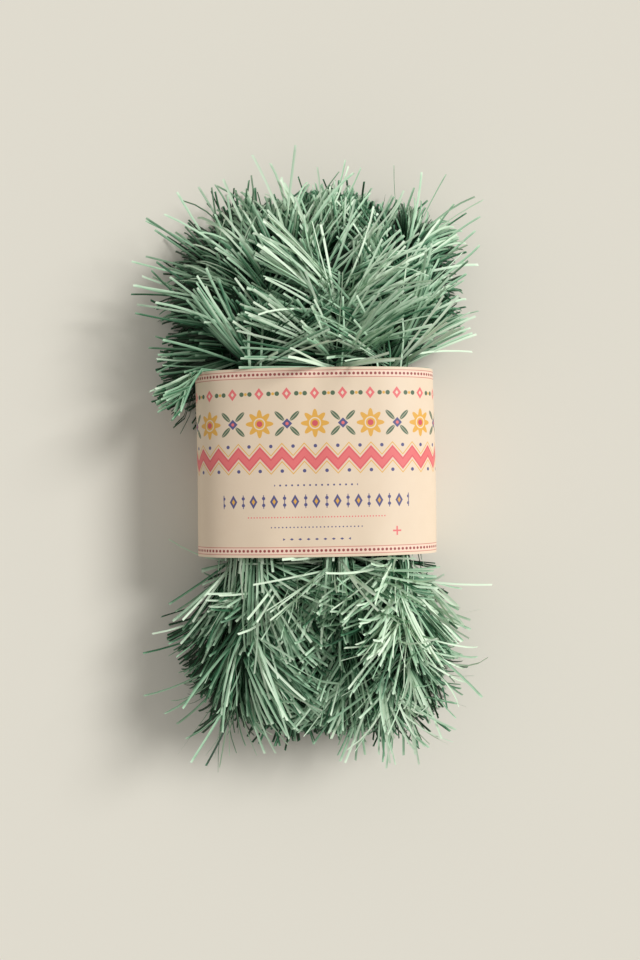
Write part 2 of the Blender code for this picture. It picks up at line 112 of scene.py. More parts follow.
class Value:
    """A number in a material: a socket that takes part in Python expressions."""

    def __init__(self, nodes: "Nodes", socket: bpy.types.NodeSocket) -> None:
        """Wraps a socket of the given node tree."""
        self.nodes = nodes
        self.socket = socket

    def math(self, operation: str, *others: "Value | Number", clamp: bool = False) -> "Value":
        """Adds a Math node whose first input is this value, and gives its result."""
        return self.nodes.math(operation, self, *others, clamp=clamp)

    def __add__(self, other: "Value | Number") -> "Value":
        """The sum."""
        return self.math("ADD", other)

    def __sub__(self, other: "Value | Number") -> "Value":
        """The difference."""
        return self.math("SUBTRACT", other)

    def __rsub__(self, other: Number) -> "Value":
        """The difference, with the number first."""
        return self.nodes.math("SUBTRACT", other, self)

    def __mul__(self, other: "Value | Number") -> "Value":
        """The product."""
        return self.math("MULTIPLY", other)

    def __truediv__(self, other: "Value | Number") -> "Value":
        """The quotient."""
        return self.math("DIVIDE", other)

    def __rtruediv__(self, other: Number) -> "Value":
        """The quotient, with the number first."""
        return self.nodes.math("DIVIDE", other, self)

    def __abs__(self) -> "Value":
        """The size without its sign."""
        return self.math("ABSOLUTE")

    def __lt__(self, other: "Value | Number") -> "Value":
        """1 where this is the smaller, else 0."""
        return self.math("LESS_THAN", other)

    def __gt__(self, other: "Value | Number") -> "Value":
        """1 where this is the larger, else 0."""
        return self.math("GREATER_THAN", other)

    def __or__(self, other: "Value | Number") -> "Value":
        """The larger of two masks."""
        return self.math("MAXIMUM", other)

    def __and__(self, other: "Value | Number") -> "Value":
        """The smaller of two masks."""
        return self.math("MINIMUM", other)

    __radd__, __rmul__, __ror__, __rand__ = __add__, __mul__, __or__, __and__

    def cell(self, pitch: float, start: float = 0.0) -> "Value":
        """The distance, with its sign, from the middle of the nearest of many cells.

        Args:
            pitch: The cells' spacing.
            start: Where one cell has its middle.

        Returns:
            The distance, from minus half a pitch to half a pitch.
        """
        return (self - start).math("WRAP", pitch / 2, -pitch / 2)

    def length(self, other: "Value") -> "Value":
        """The distance that two coordinates give together."""
        return (self * self + other * other).math("SQRT")

    def fade(self, softness: float) -> "Value":
        """1 where a distance to an edge is below zero, 0 where above, over a soft edge.

        Args:
            softness: The width of the edge.

        Returns:
            The mask.
        """
        return self.math("MULTIPLY_ADD", -1 / softness, 0.5, clamp=True)


class Nodes:
    """The nodes of a material or of the world."""

    def __init__(self, tree: bpy.types.NodeTree) -> None:
        """Takes a node tree and empties it."""
        self.tree = tree
        self.tree.nodes.clear()

    def add(self, kind: str, settings: dict[str, Any], values: dict[Any, Any]) -> bpy.types.Node:
        """Adds a node.

        Args:
            kind: Blender's name for the node's type.
            settings: Its properties, set before its sockets; "stops" are a ramp's.
            values: A number, a colour or a link for each socket, by name or place.

        Returns:
            The node.
        """
        node = self.tree.nodes.new(kind)
        for name, setting in settings.items():
            if name == "stops":
                self._set_stops(node, setting)
            else:
                setattr(node, name, setting)
        for key, value in values.items():
            if isinstance(value, Value):
                value = value.socket
            if isinstance(value, bpy.types.NodeSocket):
                self.tree.links.new(value, node.inputs[key])
            else:
                node.inputs[key].default_value = value
        return node

    def math(self, operation: str, *terms: Value | Number, clamp: bool = False) -> Value:
        """Adds a Math node with these inputs, and gives its result."""
        settings = {"operation": operation, "use_clamp": clamp}
        return Value(self, self.add("ShaderNodeMath", settings, dict(enumerate(terms))).outputs[0])

    @staticmethod
    def _set_stops(node: bpy.types.Node, stops: list[tuple[float, Colour]]) -> None:
        """Gives a colour ramp its stops.

        Args:
            node: The ramp.
            stops: The place and the colour of each.
        """
        elements = node.color_ramp.elements
        while len(elements) < len(stops):
            elements.new(1.0)
        for element, (place, colour) in zip(elements, stops):
            element.position = place
            element.color = colour

    def map_coordinates(self) -> tuple[Value, Value]:
        """Reads the surface's map.

        Returns:
            Its two coordinates, each from 0 to 1.
        """
        read = self.add("ShaderNodeUVMap", {"uv_map": UV_NAME}, {})
        parts = self.add("ShaderNodeSeparateXYZ", {}, {0: read.outputs["UV"]})
        return Value(self, parts.outputs["X"]), Value(self, parts.outputs["Y"])

    def vector(self, x: Value | Number, y: Value | Number, z: Value | Number = 0.0) -> Any:
        """The socket of a vector of three numbers."""
        return self.add("ShaderNodeCombineXYZ", {}, {0: x, 1: y, 2: z}).outputs[0]

    def noise(self, place: Any, scale: float, detail: float = 3.0) -> Value:
        """A noise from 0 to 1.

        Args:
            place: The socket of its coordinates.
            scale: How fine it is.
            detail: How many octaves it has.

        Returns:
            Its value.
        """
        values = {"Vector": place, "Scale": scale, "Detail": detail}
        return Value(self, self.add("ShaderNodeTexNoise", {}, values).outputs[0])

    def mix(self, share: Value | Number, first: Any, second: Any) -> bpy.types.NodeSocket:
        """Mixes two colours.

        Args:
            share: How much of the second there is.
            first: A colour or its socket.
            second: A colour or its socket.

        Returns:
            The socket of the mixed colour.
        """
        values = dict(zip(MIX_INPUTS, (share, first, second)))
        return self.add("ShaderNodeMix", {"data_type": "RGBA"}, values).outputs[MIX_OUTPUT]

    def bump(self, height: Value, distance: float, strength: float) -> bpy.types.NodeSocket:
        """The normal of a surface with a fine relief."""
        values = {"Height": height, "Distance": distance, "Strength": strength}
        return self.add("ShaderNodeBump", {}, values).outputs[0]


class Finish(Nodes):
    """A material that is being made."""

    def __init__(self, name: str) -> None:
        """Makes an empty material.

        Args:
            name: The material's name.
        """
        self.material = bpy.data.materials.new(name)
        self.material.use_nodes = True
        super().__init__(self.material.node_tree)

    def principled(self, values: dict[str, Any]) -> bpy.types.NodeSocket:
        """The socket of a Principled shader with these values."""
        return self.add("ShaderNodeBsdfPrincipled", {}, values).outputs[0]

    def done(self, shader: bpy.types.NodeSocket) -> bpy.types.Material:
        """Links a shader to the output and gives the material."""
        self.add("ShaderNodeOutputMaterial", {}, {"Surface": shader})
        return self.material


@dataclass(frozen=True)
class StrandPaper:
    """The dyed paper of the fringe: a little uneven, satin and slightly translucent.

    Its map has one column for each tone, from deep to pale. A strand takes a
    column's width, and its length runs up the column. One side of a strand is painted
    more lit. Painted shade darkens its edges and its root, and its tip is paler: each of
    the three has the place where that begins, how softly it does, and how strong it is.
    """

    columns: int = 48
    shaded: Colour = srgb(2, 32, 12)
    deep: Colour = srgb(60, 111, 80)
    middle: Colour = srgb(162, 198, 166)
    pale: Colour = srgb(228, 245, 221)
    glow: Colour = srgb(120, 180, 130)
    stops: tuple[float, float] = (0.25, 0.55)
    fibres: tuple[float, float] = (400.0, 9.0)
    uneven: float = 0.3
    lit_side: float = 0.26
    edges: tuple[float, float, float] = (0.42, 0.08, 0.2)
    root: tuple[float, float, float] = (0.2, 0.4, 0.36)
    tip: tuple[float, float, float] = (0.955, 0.04, 0.16)
    roughness: float = 0.5
    specular: float = 0.2
    see_through: float = 0.05

    def make(self) -> bpy.types.Material:
        """Makes the material.

        Returns:
            The material.
        """
        nodes = Finish("fringe_strand_paper")
        across, along = nodes.map_coordinates()
        place = across * self.columns
        off = place.math("FRACT") - 0.5
        fibres = nodes.noise(nodes.vector(across * self.fibres[0], along * self.fibres[1]), 1.0)
        tone = place.math("FLOOR") / self.columns + fibres * self.uneven - self.uneven / 2
        # Painted light on one long side of each strip, painted shade on the other.
        tone = tone + off * self.lit_side
        # Painted shade along both long edges of each strip; the tip is paler.
        parts = ((self.edges, abs(off), -1), (self.tip, along, 1))
        for (start, softness, strength), reach, sign in parts:
            tone = tone + (start - reach).fade(softness) * (sign * strength)
        # Painted shade at each strand's root, deep by the core.
        start, softness, strength = self.root
        tone = tone - (along - start).fade(softness) * strength
        colours = (self.shaded, self.deep, self.middle, self.pale)
        stops = list(zip((0.0, *self.stops, 1.0), colours))
        ramp = nodes.add("ShaderNodeValToRGB", {"stops": stops}, {0: tone})
        values = {
            "Base Color": ramp.outputs[0],
            "Roughness": self.roughness,
            "Specular IOR Level": self.specular,
        }
        glow = nodes.add("ShaderNodeBsdfTranslucent", {}, {"Color": self.glow})
        both = {0: self.see_through, 1: nodes.principled(values), 2: glow.outputs[0]}
        return nodes.done(nodes.add("ShaderNodeMixShader", {}, both).outputs[0])


@dataclass(frozen=True)
class CordTwist:
    """Dyed cotton cord, laid from strands, with a fluff that takes a share of its tone."""

    light: Colour = srgb(92, 122, 92)
    dark: Colour = srgb(48, 74, 54)
    lay_scale: float = 260.0
    fluff_scale: float = 2200.0
    fluff_share: float = 0.3
    fluff_height: float = 0.4
    relief: float = 0.3 * MM
    relief_strength: float = 0.7
    roughness: float = 0.85

    def make(self) -> bpy.types.Material:
        """Makes the material.

        Returns:
            The material.
        """
        nodes = Finish("laid_cotton_cord")
        place = nodes.add("ShaderNodeTexCoord", {}, {}).outputs["Object"]
        settings = {"bands_direction": "DIAGONAL"}
        wave = nodes.add("ShaderNodeTexWave", settings, {"Vector": place, "Scale": self.lay_scale})
        lay = Value(nodes, wave.outputs[1])
        fluff = nodes.noise(place, self.fluff_scale)
        tone = lay * (1 - self.fluff_share) + fluff * self.fluff_share
        height = lay + fluff * self.fluff_height
        values = {
            "Base Color": nodes.mix(tone, self.dark, self.light),
            "Roughness": self.roughness,
            "Normal": nodes.bump(height, self.relief, self.relief_strength),
        }
        return nodes.done(nodes.principled(values))


@dataclass(frozen=True)
class TapeFilm:
    """Clouded double-sided tape."""

    film: Colour = srgb(214, 206, 188)
    worn: Colour = srgb(196, 186, 164)
    cloud_scale: float = 240.0
    roughness: tuple[float, float] = (0.2, 0.4)
    relief: float = 0.05 * MM
    relief_strength: float = 0.4

    def make(self) -> bpy.types.Material:
        """Makes the material.

        Returns:
            The material.
        """
        nodes = Finish("clouded_tape")
        place = nodes.add("ShaderNodeTexCoord", {}, {}).outputs["Object"]
        cloud = nodes.noise(place, self.cloud_scale)
        values = {
            "Base Color": nodes.mix(cloud, self.film, self.worn),
            "Roughness": lerp(*self.roughness, cloud),
            "Normal": nodes.bump(cloud, self.relief, self.relief_strength),
        }
        return nodes.done(nodes.principled(values))


def dot(x: Value, y: Value, radius: float) -> Value:
    """The distance to a round dot's edge, below zero inside."""
    return x.length(y) - radius


def lozenge(x: Value, y: Value, slopes: tuple[float, float], size: float) -> Value:
    """The distance to a lozenge's edge, below zero inside."""
    return abs(x) * slopes[0] + abs(y) * slopes[1] - size


@dataclass
class Sheet:
    """A sheet that is being printed: the places on it, in millimetres, and its paint."""

    nodes: Nodes
    s: Value
    v: Value
    paint: Any
    edge: float

    def cells(self, pitch: float) -> tuple[Value, Value]:
        """The distances from the motifs of a row, and from the middles between them."""
        return self.s.cell(pitch), self.s.cell(pitch, pitch / 2)

    def inside(self, distance: Value) -> Value:
        """The mask of a motif, from the distance to its edge."""
        return distance.fade(self.edge)

    def fill(self, distance: Value, colour: Colour) -> None:
        """Prints a whole motif, from the distance to its edge."""
        self.ink(self.inside(distance), colour)

    def ink(self, mask: Value, colour: Colour) -> None:
        """Prints a colour where a mask is 1."""
        self.paint = self.nodes.mix(mask, self.paint, colour)

    def within(self, half: float, end: float) -> Value:
        """The mask of what lies so far to each side of the middle, with a soft end."""
        return (abs(self.s) - half).fade(end)

    def rule(self, row: float, pitch: float, radius: float, half: float, end: float) -> Value:
        """The mask of a dotted rule.

        Args:
            row: How far above the sheet's middle it lies.
            pitch: The way from one dot to the next.
            radius: A dot's radius.
            half: How far the rule reaches to each side.
            end: How softly it ends.

        Returns:
            The mask.
        """
        dots = self.inside(dot(self.s.cell(pitch), self.v - row, radius))
        return dots & self.within(half, end)


@dataclass(frozen=True)
class PrintedPaper:
    """The band's cream paper with a generic folk print, in millimetres.

    The print has flowers, leaves, lozenges and a zigzag in rows that run round the
    band, between two dotted borders. A row is so far above the band's middle, a
    pitch is the way from one motif to the next, and what has a half reaches so far
    to each side. A rule has its row, its pitch, its dots' radius and its half.
    """

    girth: float
    height: float
    cream: Colour = srgb(230, 211, 187)
    cream_shade: Colour = srgb(222, 199, 172)
    inside: Colour = srgb(222, 208, 186)
    border_red: Colour = srgb(186, 74, 70)
    dot_red: Colour = srgb(140, 44, 48)
    blush: Colour = srgb(246, 208, 192)
    coral: Colour = srgb(226, 104, 108)
    deep_coral: Colour = srgb(205, 72, 84)
    mustard: Colour = srgb(222, 166, 62)
    leaf_green: Colour = srgb(58, 92, 66)
    indigo: Colour = srgb(62, 66, 122)
    edge: float = 0.16
    border_row: float = 44.15
    border_pitch: float = 2.2
    border_half: float = 1.75
    border_line: float = 0.17
    border_dot: float = 0.7
    border_tints: tuple[float, float] = (0.55, 0.85)
    bead_row: float = 34.5
    bead_pitch: float = 14.0
    bead_slopes: tuple[float, float] = (0.8, 0.62)
    bead_sizes: tuple[float, float] = (1.9, 0.7)
    bead_apart: float = 2.1
    bead_dots: tuple[float, float] = (1.15, 0.75)
    flower_row: float = 19.5
    flower_pitch: float = 28.0
    flower_radius: float = 5.6
    petals: int = 8
    petal_depth: float = 1.5
    ring_radius: float = 2.7
    ring_line: float = 0.3
    heart_radius: float = 1.5
    diagonal: float = 0.7071
    leaf_out: float = 5.4
    leaf_slopes: tuple[float, float] = (0.36, 1.05)
    leaf_radius: float = 1.15
    vein_line: float = 0.14
    vein_tint: float = 0.6
    between_sizes: tuple[float, float] = (2.6, 0.8)
    zigzag_row: float = 2.0
    zigzag_pitch: float = 11.2
    zigzag_slope: float = 1.1
    zigzag_depth: float = 3.1
    zigzag_thin: float = 0.68
    zigzag_half: float = 2.1
    zigzag_edges: tuple[float, float] = (1.55, 3.1)
    zigzag_line: float = 0.22
    zigzag_tint: float = 0.8
    bend_apart: float = 6.2
    bend_dot: float = 0.9
    ornament_row: float = -19.5
    ornament_pitch: float = 10.6
    ornament_half: float = 48.0
    ornament_end: float = 0.5
    ornament_slopes: tuple[float, float] = (0.86, 0.5)
    ornament_sizes: tuple[float, float] = (1.75, 0.75)
    pair_apart: float = 1.7
    pair_dot: float = 0.85
    stem_line: float = 0.22
    stem_half: float = 3.4
    rules: tuple[tuple[float, float, float, float], ...] = ((-11.4, 3.0, 0.5, 21.0), (-32.4, 1.9, 0.36, 23.0))
    coral_rule: tuple[float, float, float, float] = (-27.4, 1.5, 0.36, 35.0)
    rule_end: float = 0.3
    small_row: float = -38.4
    small_pitch: float = 4.2
    small_slopes: tuple[float, float] = (0.6, 1.0)
    small_size: float = 0.6
    small_half: float = 17.0
    sprig_place: tuple[float, float] = (41.0, -35.0)
    sprig_reach: float = 2.3
    sprig_line: float = 0.42
    grain: tuple[float, float] = (3.2, 5.0)
    cloud: tuple[float, float] = (0.12, 2.0)
    shade: tuple[float, float] = (0.35, 0.45)
    worn: float = 0.12
    roughness: tuple[float, float] = (0.42, 0.62)
    specular: float = 0.4
    relief: float = 0.05 * MM

    def _border(self, sheet: Sheet) -> None:
        """Prints the two dotted borders.

        Args:
            sheet: The band's paper.
        """
        row = abs(sheet.v) - self.border_row
        off = abs(row) - self.border_half
        sheet.ink(sheet.inside(off) * self.border_tints[0], self.blush)
        lines = sheet.inside(abs(off) - self.border_line)
        sheet.ink(lines * self.border_tints[1], self.border_red)
        sheet.fill(dot(sheet.s.cell(self.border_pitch), row, self.border_dot), self.dot_red)

    def _beads(self, sheet: Sheet) -> None:
        """Prints a row of coral lozenges and green beads below the upper border.

        Args:
            sheet: The band's paper.
        """
        row = sheet.v - self.bead_row
        here, between = sheet.cells(self.bead_pitch)
        for size, colour in zip(self.bead_sizes, (self.coral, self.cream)):
            sheet.fill(lozenge(here, row, self.bead_slopes, size), colour)
        sheet.fill(dot(abs(between) - self.bead_apart, row, self.bead_dots[0]), self.leaf_green)
        sheet.fill(dot(between, row, self.bead_dots[1]), self.mustard)

    def _flowers(self, sheet: Sheet) -> None:
        """Prints mustard flowers, with a lozenge and four leaves between them.

        Args:
            sheet: The band's paper.
        """
        row = sheet.v - self.flower_row
        x, between = sheet.cells(self.flower_pitch)
        reach = x.length(row)
        petals = (row.math("ARCTAN2", x) * self.petals).math("COSINE")
        flower = reach - (petals * self.petal_depth + self.flower_radius)
        sheet.ink(flower.fade(self.edge * 2), self.mustard)
        sheet.fill(abs(reach - self.ring_radius) - self.ring_line, self.cream)
        sheet.fill(reach - self.heart_radius, self.deep_coral)
        a, b = abs(between), abs(row)
        along, off = (a + b) * self.diagonal - self.leaf_out, (a - b) * self.diagonal
        leaf = dot(along * self.leaf_slopes[0], off * self.leaf_slopes[1], self.leaf_radius)
        sheet.fill(leaf, self.leaf_green)
        vein = sheet.inside(abs(off) - self.vein_line) & sheet.inside(leaf)
        sheet.ink(vein * self.vein_tint, self.cream)
        sheet.fill(a + b - self.between_sizes[0], self.indigo)
        sheet.fill(dot(between, row, self.between_sizes[1]), self.coral)

    def _zigzag(self, sheet: Sheet) -> None:
        """Prints a coral zigzag with darker edges, and beads in its bends.

        Args:
            sheet: The band's paper.
        """
        row = sheet.v - self.zigzag_row
        here, between = sheet.cells(self.zigzag_pitch)
        wave = abs(here) * self.zigzag_slope - self.zigzag_depth
        across = abs(row - wave) * self.zigzag_thin
        sheet.fill(across - self.zigzag_half, self.coral)
        dark, light = (sheet.inside(abs(across - place) - self.zigzag_line) for place in self.zigzag_edges)
        sheet.ink(dark * self.zigzag_tint, self.deep_coral)
        sheet.ink(light, self.mustard)
        low = dot(between, row + self.bend_apart, self.bend_dot)
        high = dot(here, row - self.bend_apart, self.bend_dot)
        sheet.ink(sheet.inside(low) | sheet.inside(high), self.indigo)

    def _ornaments(self, sheet: Sheet) -> None:
        """Prints the bold ornament row of the lower half.

        Args:
            sheet: The band's paper.
        """
        row = sheet.v - self.ornament_row
        here, between = sheet.cells(self.ornament_pitch)
        printed = sheet.within(self.ornament_half, self.ornament_end)
        whole, heart = (
            sheet.inside(lozenge(here, row, self.ornament_slopes, size)) for size in self.ornament_sizes
        )
        pair = sheet.inside(dot(between, abs(row) - self.pair_apart, self.pair_dot))
        stem = sheet.inside(abs(between) - self.stem_line) & sheet.inside(abs(row) - self.stem_half)
        sheet.ink((whole | pair | stem) & printed, self.indigo)
        sheet.ink(heart & printed, self.mustard)

    def _rules(self, sheet: Sheet) -> None:
        """Prints the fine rules of the lower half, with a row of lozenges and a sprig.

        Args:
            sheet: The band's paper.
        """
        first, second = (sheet.rule(*rule, self.rule_end) for rule in self.rules)
        row = sheet.v - self.small_row
        small = sheet.inside(lozenge(sheet.s.cell(self.small_pitch), row, self.small_slopes, self.small_size))
        small = small & sheet.within(self.small_half, self.rule_end)
        sheet.ink(first | second | small, self.indigo)
        dots = sheet.rule(*self.coral_rule, self.rule_end)
        x, y = sheet.s - self.sprig_place[0], sheet.v - self.sprig_place[1]
        arms = sheet.inside((abs(x) & abs(y)) - self.sprig_line)
        sprig = sheet.inside(dot(x, y, self.sprig_reach)) & arms
        sheet.ink(dots | sprig, self.coral)

    def make(self) -> bpy.types.Material:
        """Makes the material.

        Returns:
            The material, with the print outside and plain paper inside.
        """
        nodes = Finish("printed_band_paper")
        across, up = nodes.map_coordinates()
        s = (across - 0.5) * self.girth
        v = (up * 2 - 0.5) * self.height
        place = nodes.vector(s, v)
        grain, cloud = nodes.noise(place, *self.grain), nodes.noise(place, *self.cloud)
        shade = grain * self.shade[0] + cloud * self.shade[1]
        paint = nodes.mix(shade, self.cream, self.cream_shade)
        sheet = Sheet(nodes, s, v, paint, self.edge)
        for layer in (self._border, self._beads, self._flowers, self._zigzag, self._ornaments, self._rules):
            layer(sheet)
        sheet.ink(grain * self.worn, self.cream)
        back = nodes.mix(grain * 0.5, self.inside, self.cream_shade)
        values = {
            "Base Color": nodes.mix(up > 0.5, sheet.paint, back),
            "Roughness": lerp(*self.roughness, grain),
            "Specular IOR Level": self.specular,
            "Normal": nodes.bump(grain, self.relief, 0.5),
        }
        return nodes.done(nodes.principled(values))


@dataclass(frozen=True)
class FloorPaint:
    """The plain pale floor."""

    colour: Colour = srgb(226, 222, 210)
    roughness: float = 0.9
    specular: float = 0.1

    def make(self) -> bpy.types.Material:
        """Makes the material.

        Returns:
            The material.
        """
        nodes = Finish("plain_floor")
        values = {
            "Base Color": self.colour,
            "Roughness": self.roughness,
            "Specular IOR Level": self.specular,
        }
        return nodes.done(nodes.principled(values))


def quad_mesh(name: str, points: np.ndarray, quads: np.ndarray, uvs: np.ndarray) -> bpy.types.Mesh:
    """Makes a smooth mesh of four-sided faces with a map.

    Args:
        name: The mesh's name.
        points: Its vertices.
        quads: Four vertices for each face.
        uvs: The map's coordinates for each vertex.

    Returns:
        The mesh.
    """
    mesh = bpy.data.meshes.new(name)
    mesh.vertices.add(len(points))
    mesh.vertices.foreach_set("co", points.astype(np.float32).ravel())
    mesh.loops.add(quads.size)
    mesh.loops.foreach_set("vertex_index", quads.astype(np.int32).ravel())
    mesh.polygons.add(len(quads))
    mesh.polygons.foreach_set("loop_start", np.arange(0, quads.size, 4, dtype=np.int32))
    mesh.update(calc_edges=True)
    layer = mesh.uv_layers.new(name=UV_NAME)
    layer.uv.foreach_set("vector", uvs[quads.ravel()].astype(np.float32).ravel())
    mesh.shade_smooth()
    mesh.validate()
    return mesh


def add_piece(name: str, data: Any, material: bpy.types.Material) -> bpy.types.Object:
    """Puts a new object with one material into the scene.

    Args:
        name: The object's name.
        data: Its mesh or curve.
        material: Its material.

    Returns:
        The object.
    """
    piece = bpy.data.objects.new(name, data)
    data.materials.append(material)
    bpy.context.scene.collection.objects.link(piece)
    return piece


class Zone(Enum):
    """A part of a run of the hank, and the way in which its fringe leans along Y."""

    BOTTOM = -1
    WAIST = 0
    TOP = 1


@dataclass(frozen=True)
class Habit:
    """How the strands of a free stretch lie.

    All values are degrees. A lean is from straight out to along the hank, at the
    band, halfway and at the fold. The rise and the fall are the steepest that
    strands stand, and a tilt lifts or lowers all those on one side. The disorder is
    how much strands of one lock differ, and the tousle how much locks do. The fan is
    how far strands spread to the sides at the fold, and levelled strands lie flat. At
    the band the strands rise as steeply as the mouth says, and crossing is the share
    of them that lie over the core to its other side. A parting spreads them from the
    core at the fold. Painted light and shade make the paper on each side, by the band
    and at the fold a little paler or deeper.
    """

    left: tuple[float, float, float] = (34.0, 50.0, 58.0)
    right: tuple[float, float, float] = (34.0, 50.0, 58.0)
    rise: float = 60.0
    fall: float = 60.0
    tilt_left: float = 0.0
    tilt_right: float = 0.0
    curl: float = 8.0
    disorder: float = 3.5
    tousle: float = 12.0
    strays: float = 0.03
    plies: int = 18
    fan: float = 0.75
    levelled: float = 0.6
    mouth: float = 52.0
    crossing: float = 0.0
    parting: float = 0.0
    # Painted light and shade: how much paler or deeper the paper is on each side, by the band and at the
    # fold.
    painted_light_left: float = 0.0
    painted_light_right: float = 0.0
    painted_light_mouth: float = 0.0
    painted_light_fold: float = 0.0


# Painted shade by the band for combed stretches, painted light by the band for tousled ones.
COMBED = Habit(fall=40.0, disorder=2.6, painted_light_mouth=-0.12)
TOUSLED = Habit(
    fall=48.0, curl=12.0, disorder=8.0, tousle=21.0, strays=0.08, fan=0.45, levelled=0.3,
    crossing=0.3, painted_light_mouth=0.1,
)

# Where the photograph shows a stretch, its strands lie as they do there.
# Each stretch's painted light and shade values lighten or darken its paper.
HABITS = {
    ("front_middle", Zone.TOP): replace(
        COMBED, left=(10, 38, 50), right=(4, 26, 56), rise=26, fall=30, tilt_left=6, tilt_right=3,
        strays=0.07, plies=14, parting=0.5, painted_light_left=0.06, painted_light_right=0.08,
    ),
    ("front_left", Zone.TOP): replace(
        COMBED, left=(56, 42, 30), right=(30, 56, 70), fan=0.9, rise=36, tilt_right=-24,
        strays=0.05, plies=15, painted_light_left=-0.07, painted_light_right=-0.06, painted_light_fold=0.1,
    ),
    ("front_right", Zone.TOP): replace(
        COMBED, left=(16, 44, 70), right=(38, 38, 52), rise=34, tilt_left=-16, tilt_right=4, plies=13,
        painted_light_right=0.08, painted_light_fold=-0.14,
    ),
    ("side_left", Zone.TOP): replace(
        COMBED, left=(-22, 12, 30), right=(34, 50, 60), rise=44, tilt_left=-26, fan=0.5,
        plies=24, painted_light_left=-0.36, painted_light_right=-0.2, painted_light_fold=0.2,
    ),
    ("side_right", Zone.TOP): replace(
        COMBED, right=(44, 42, 48), plies=22, painted_light_right=0.16, painted_light_mouth=0.1, painted_light_fold=-0.24
    ),
    ("inner_left", Zone.TOP): replace(COMBED, left=(34, 40, 34), rise=66, fan=1.5, plies=20, painted_light_fold=0.14),
    ("inner_right", Zone.TOP): replace(COMBED, left=(30, 44, 54), rise=76, plies=20),
    ("back_far_left", Zone.TOP): replace(
        COMBED, left=(-26, 6, 30), rise=40, fall=30, tilt_left=-10, plies=24,
        painted_light_left=-0.2, painted_light_fold=0.34,
    ),
    ("back_left", Zone.TOP): replace(COMBED, left=(34, 40, 36), rise=50, painted_light_fold=0.3),
    ("back_middle", Zone.TOP): replace(COMBED, left=(34, 40, 40), rise=50, painted_light_fold=0.3),
    ("back_far_right", Zone.TOP): replace(
        COMBED, right=(44, 46, 52), rise=50, painted_light_right=0.2, painted_light_mouth=0.08
    ),
    ("front_left", Zone.BOTTOM): replace(
        TOUSLED, left=(84, 86, 88), right=(16, 34, 46), rise=28, tousle=18, strays=0.05, mouth=34, fan=0.3,
        painted_light_left=-0.28, painted_light_mouth=0.22, painted_light_fold=-0.1,
    ),
    ("front_middle", Zone.BOTTOM): replace(
        TOUSLED, left=(30, 62, 70), right=(30, 62, 72), rise=18, tilt_left=-18, tilt_right=-20,
        tousle=16, plies=14, painted_light_left=0.04, painted_light_right=0.04, painted_light_mouth=0.24,
    ),
    ("front_right", Zone.BOTTOM): replace(
        TOUSLED, left=(14, 26, 40), right=(80, 84, 78), rise=70, tilt_left=4, tousle=20,
        painted_light_left=0.06, painted_light_right=0.2,
    ),
    ("side_left", Zone.BOTTOM): replace(
        TOUSLED, left=(76, 70, 70), fan=0.25, tousle=14, strays=0.03, plies=24,
        painted_light_left=-0.28, painted_light_right=-0.14, painted_light_fold=-0.06,
    ),
    ("side_right", Zone.BOTTOM): replace(
        TOUSLED, right=(76, 66, 58), tousle=14, strays=0.03, plies=24, painted_light_left=0.1, painted_light_right=0.2
    ),
    ("inner_left", Zone.BOTTOM): replace(TOUSLED, rise=74, plies=20, painted_light_left=0.1, painted_light_right=0.14),
    ("inner_right", Zone.BOTTOM): replace(TOUSLED, rise=76, plies=20),
    ("back_far_left", Zone.BOTTOM): replace(
        TOUSLED, left=(74, 66, 60), rise=50, fan=0.6, tousle=14, strays=0.04, painted_light_left=-0.15
    ),
    ("back_far_right", Zone.BOTTOM): replace(
        TOUSLED, right=(74, 62, 54), rise=50, fan=0.6, tousle=14, strays=0.04
    ),
}


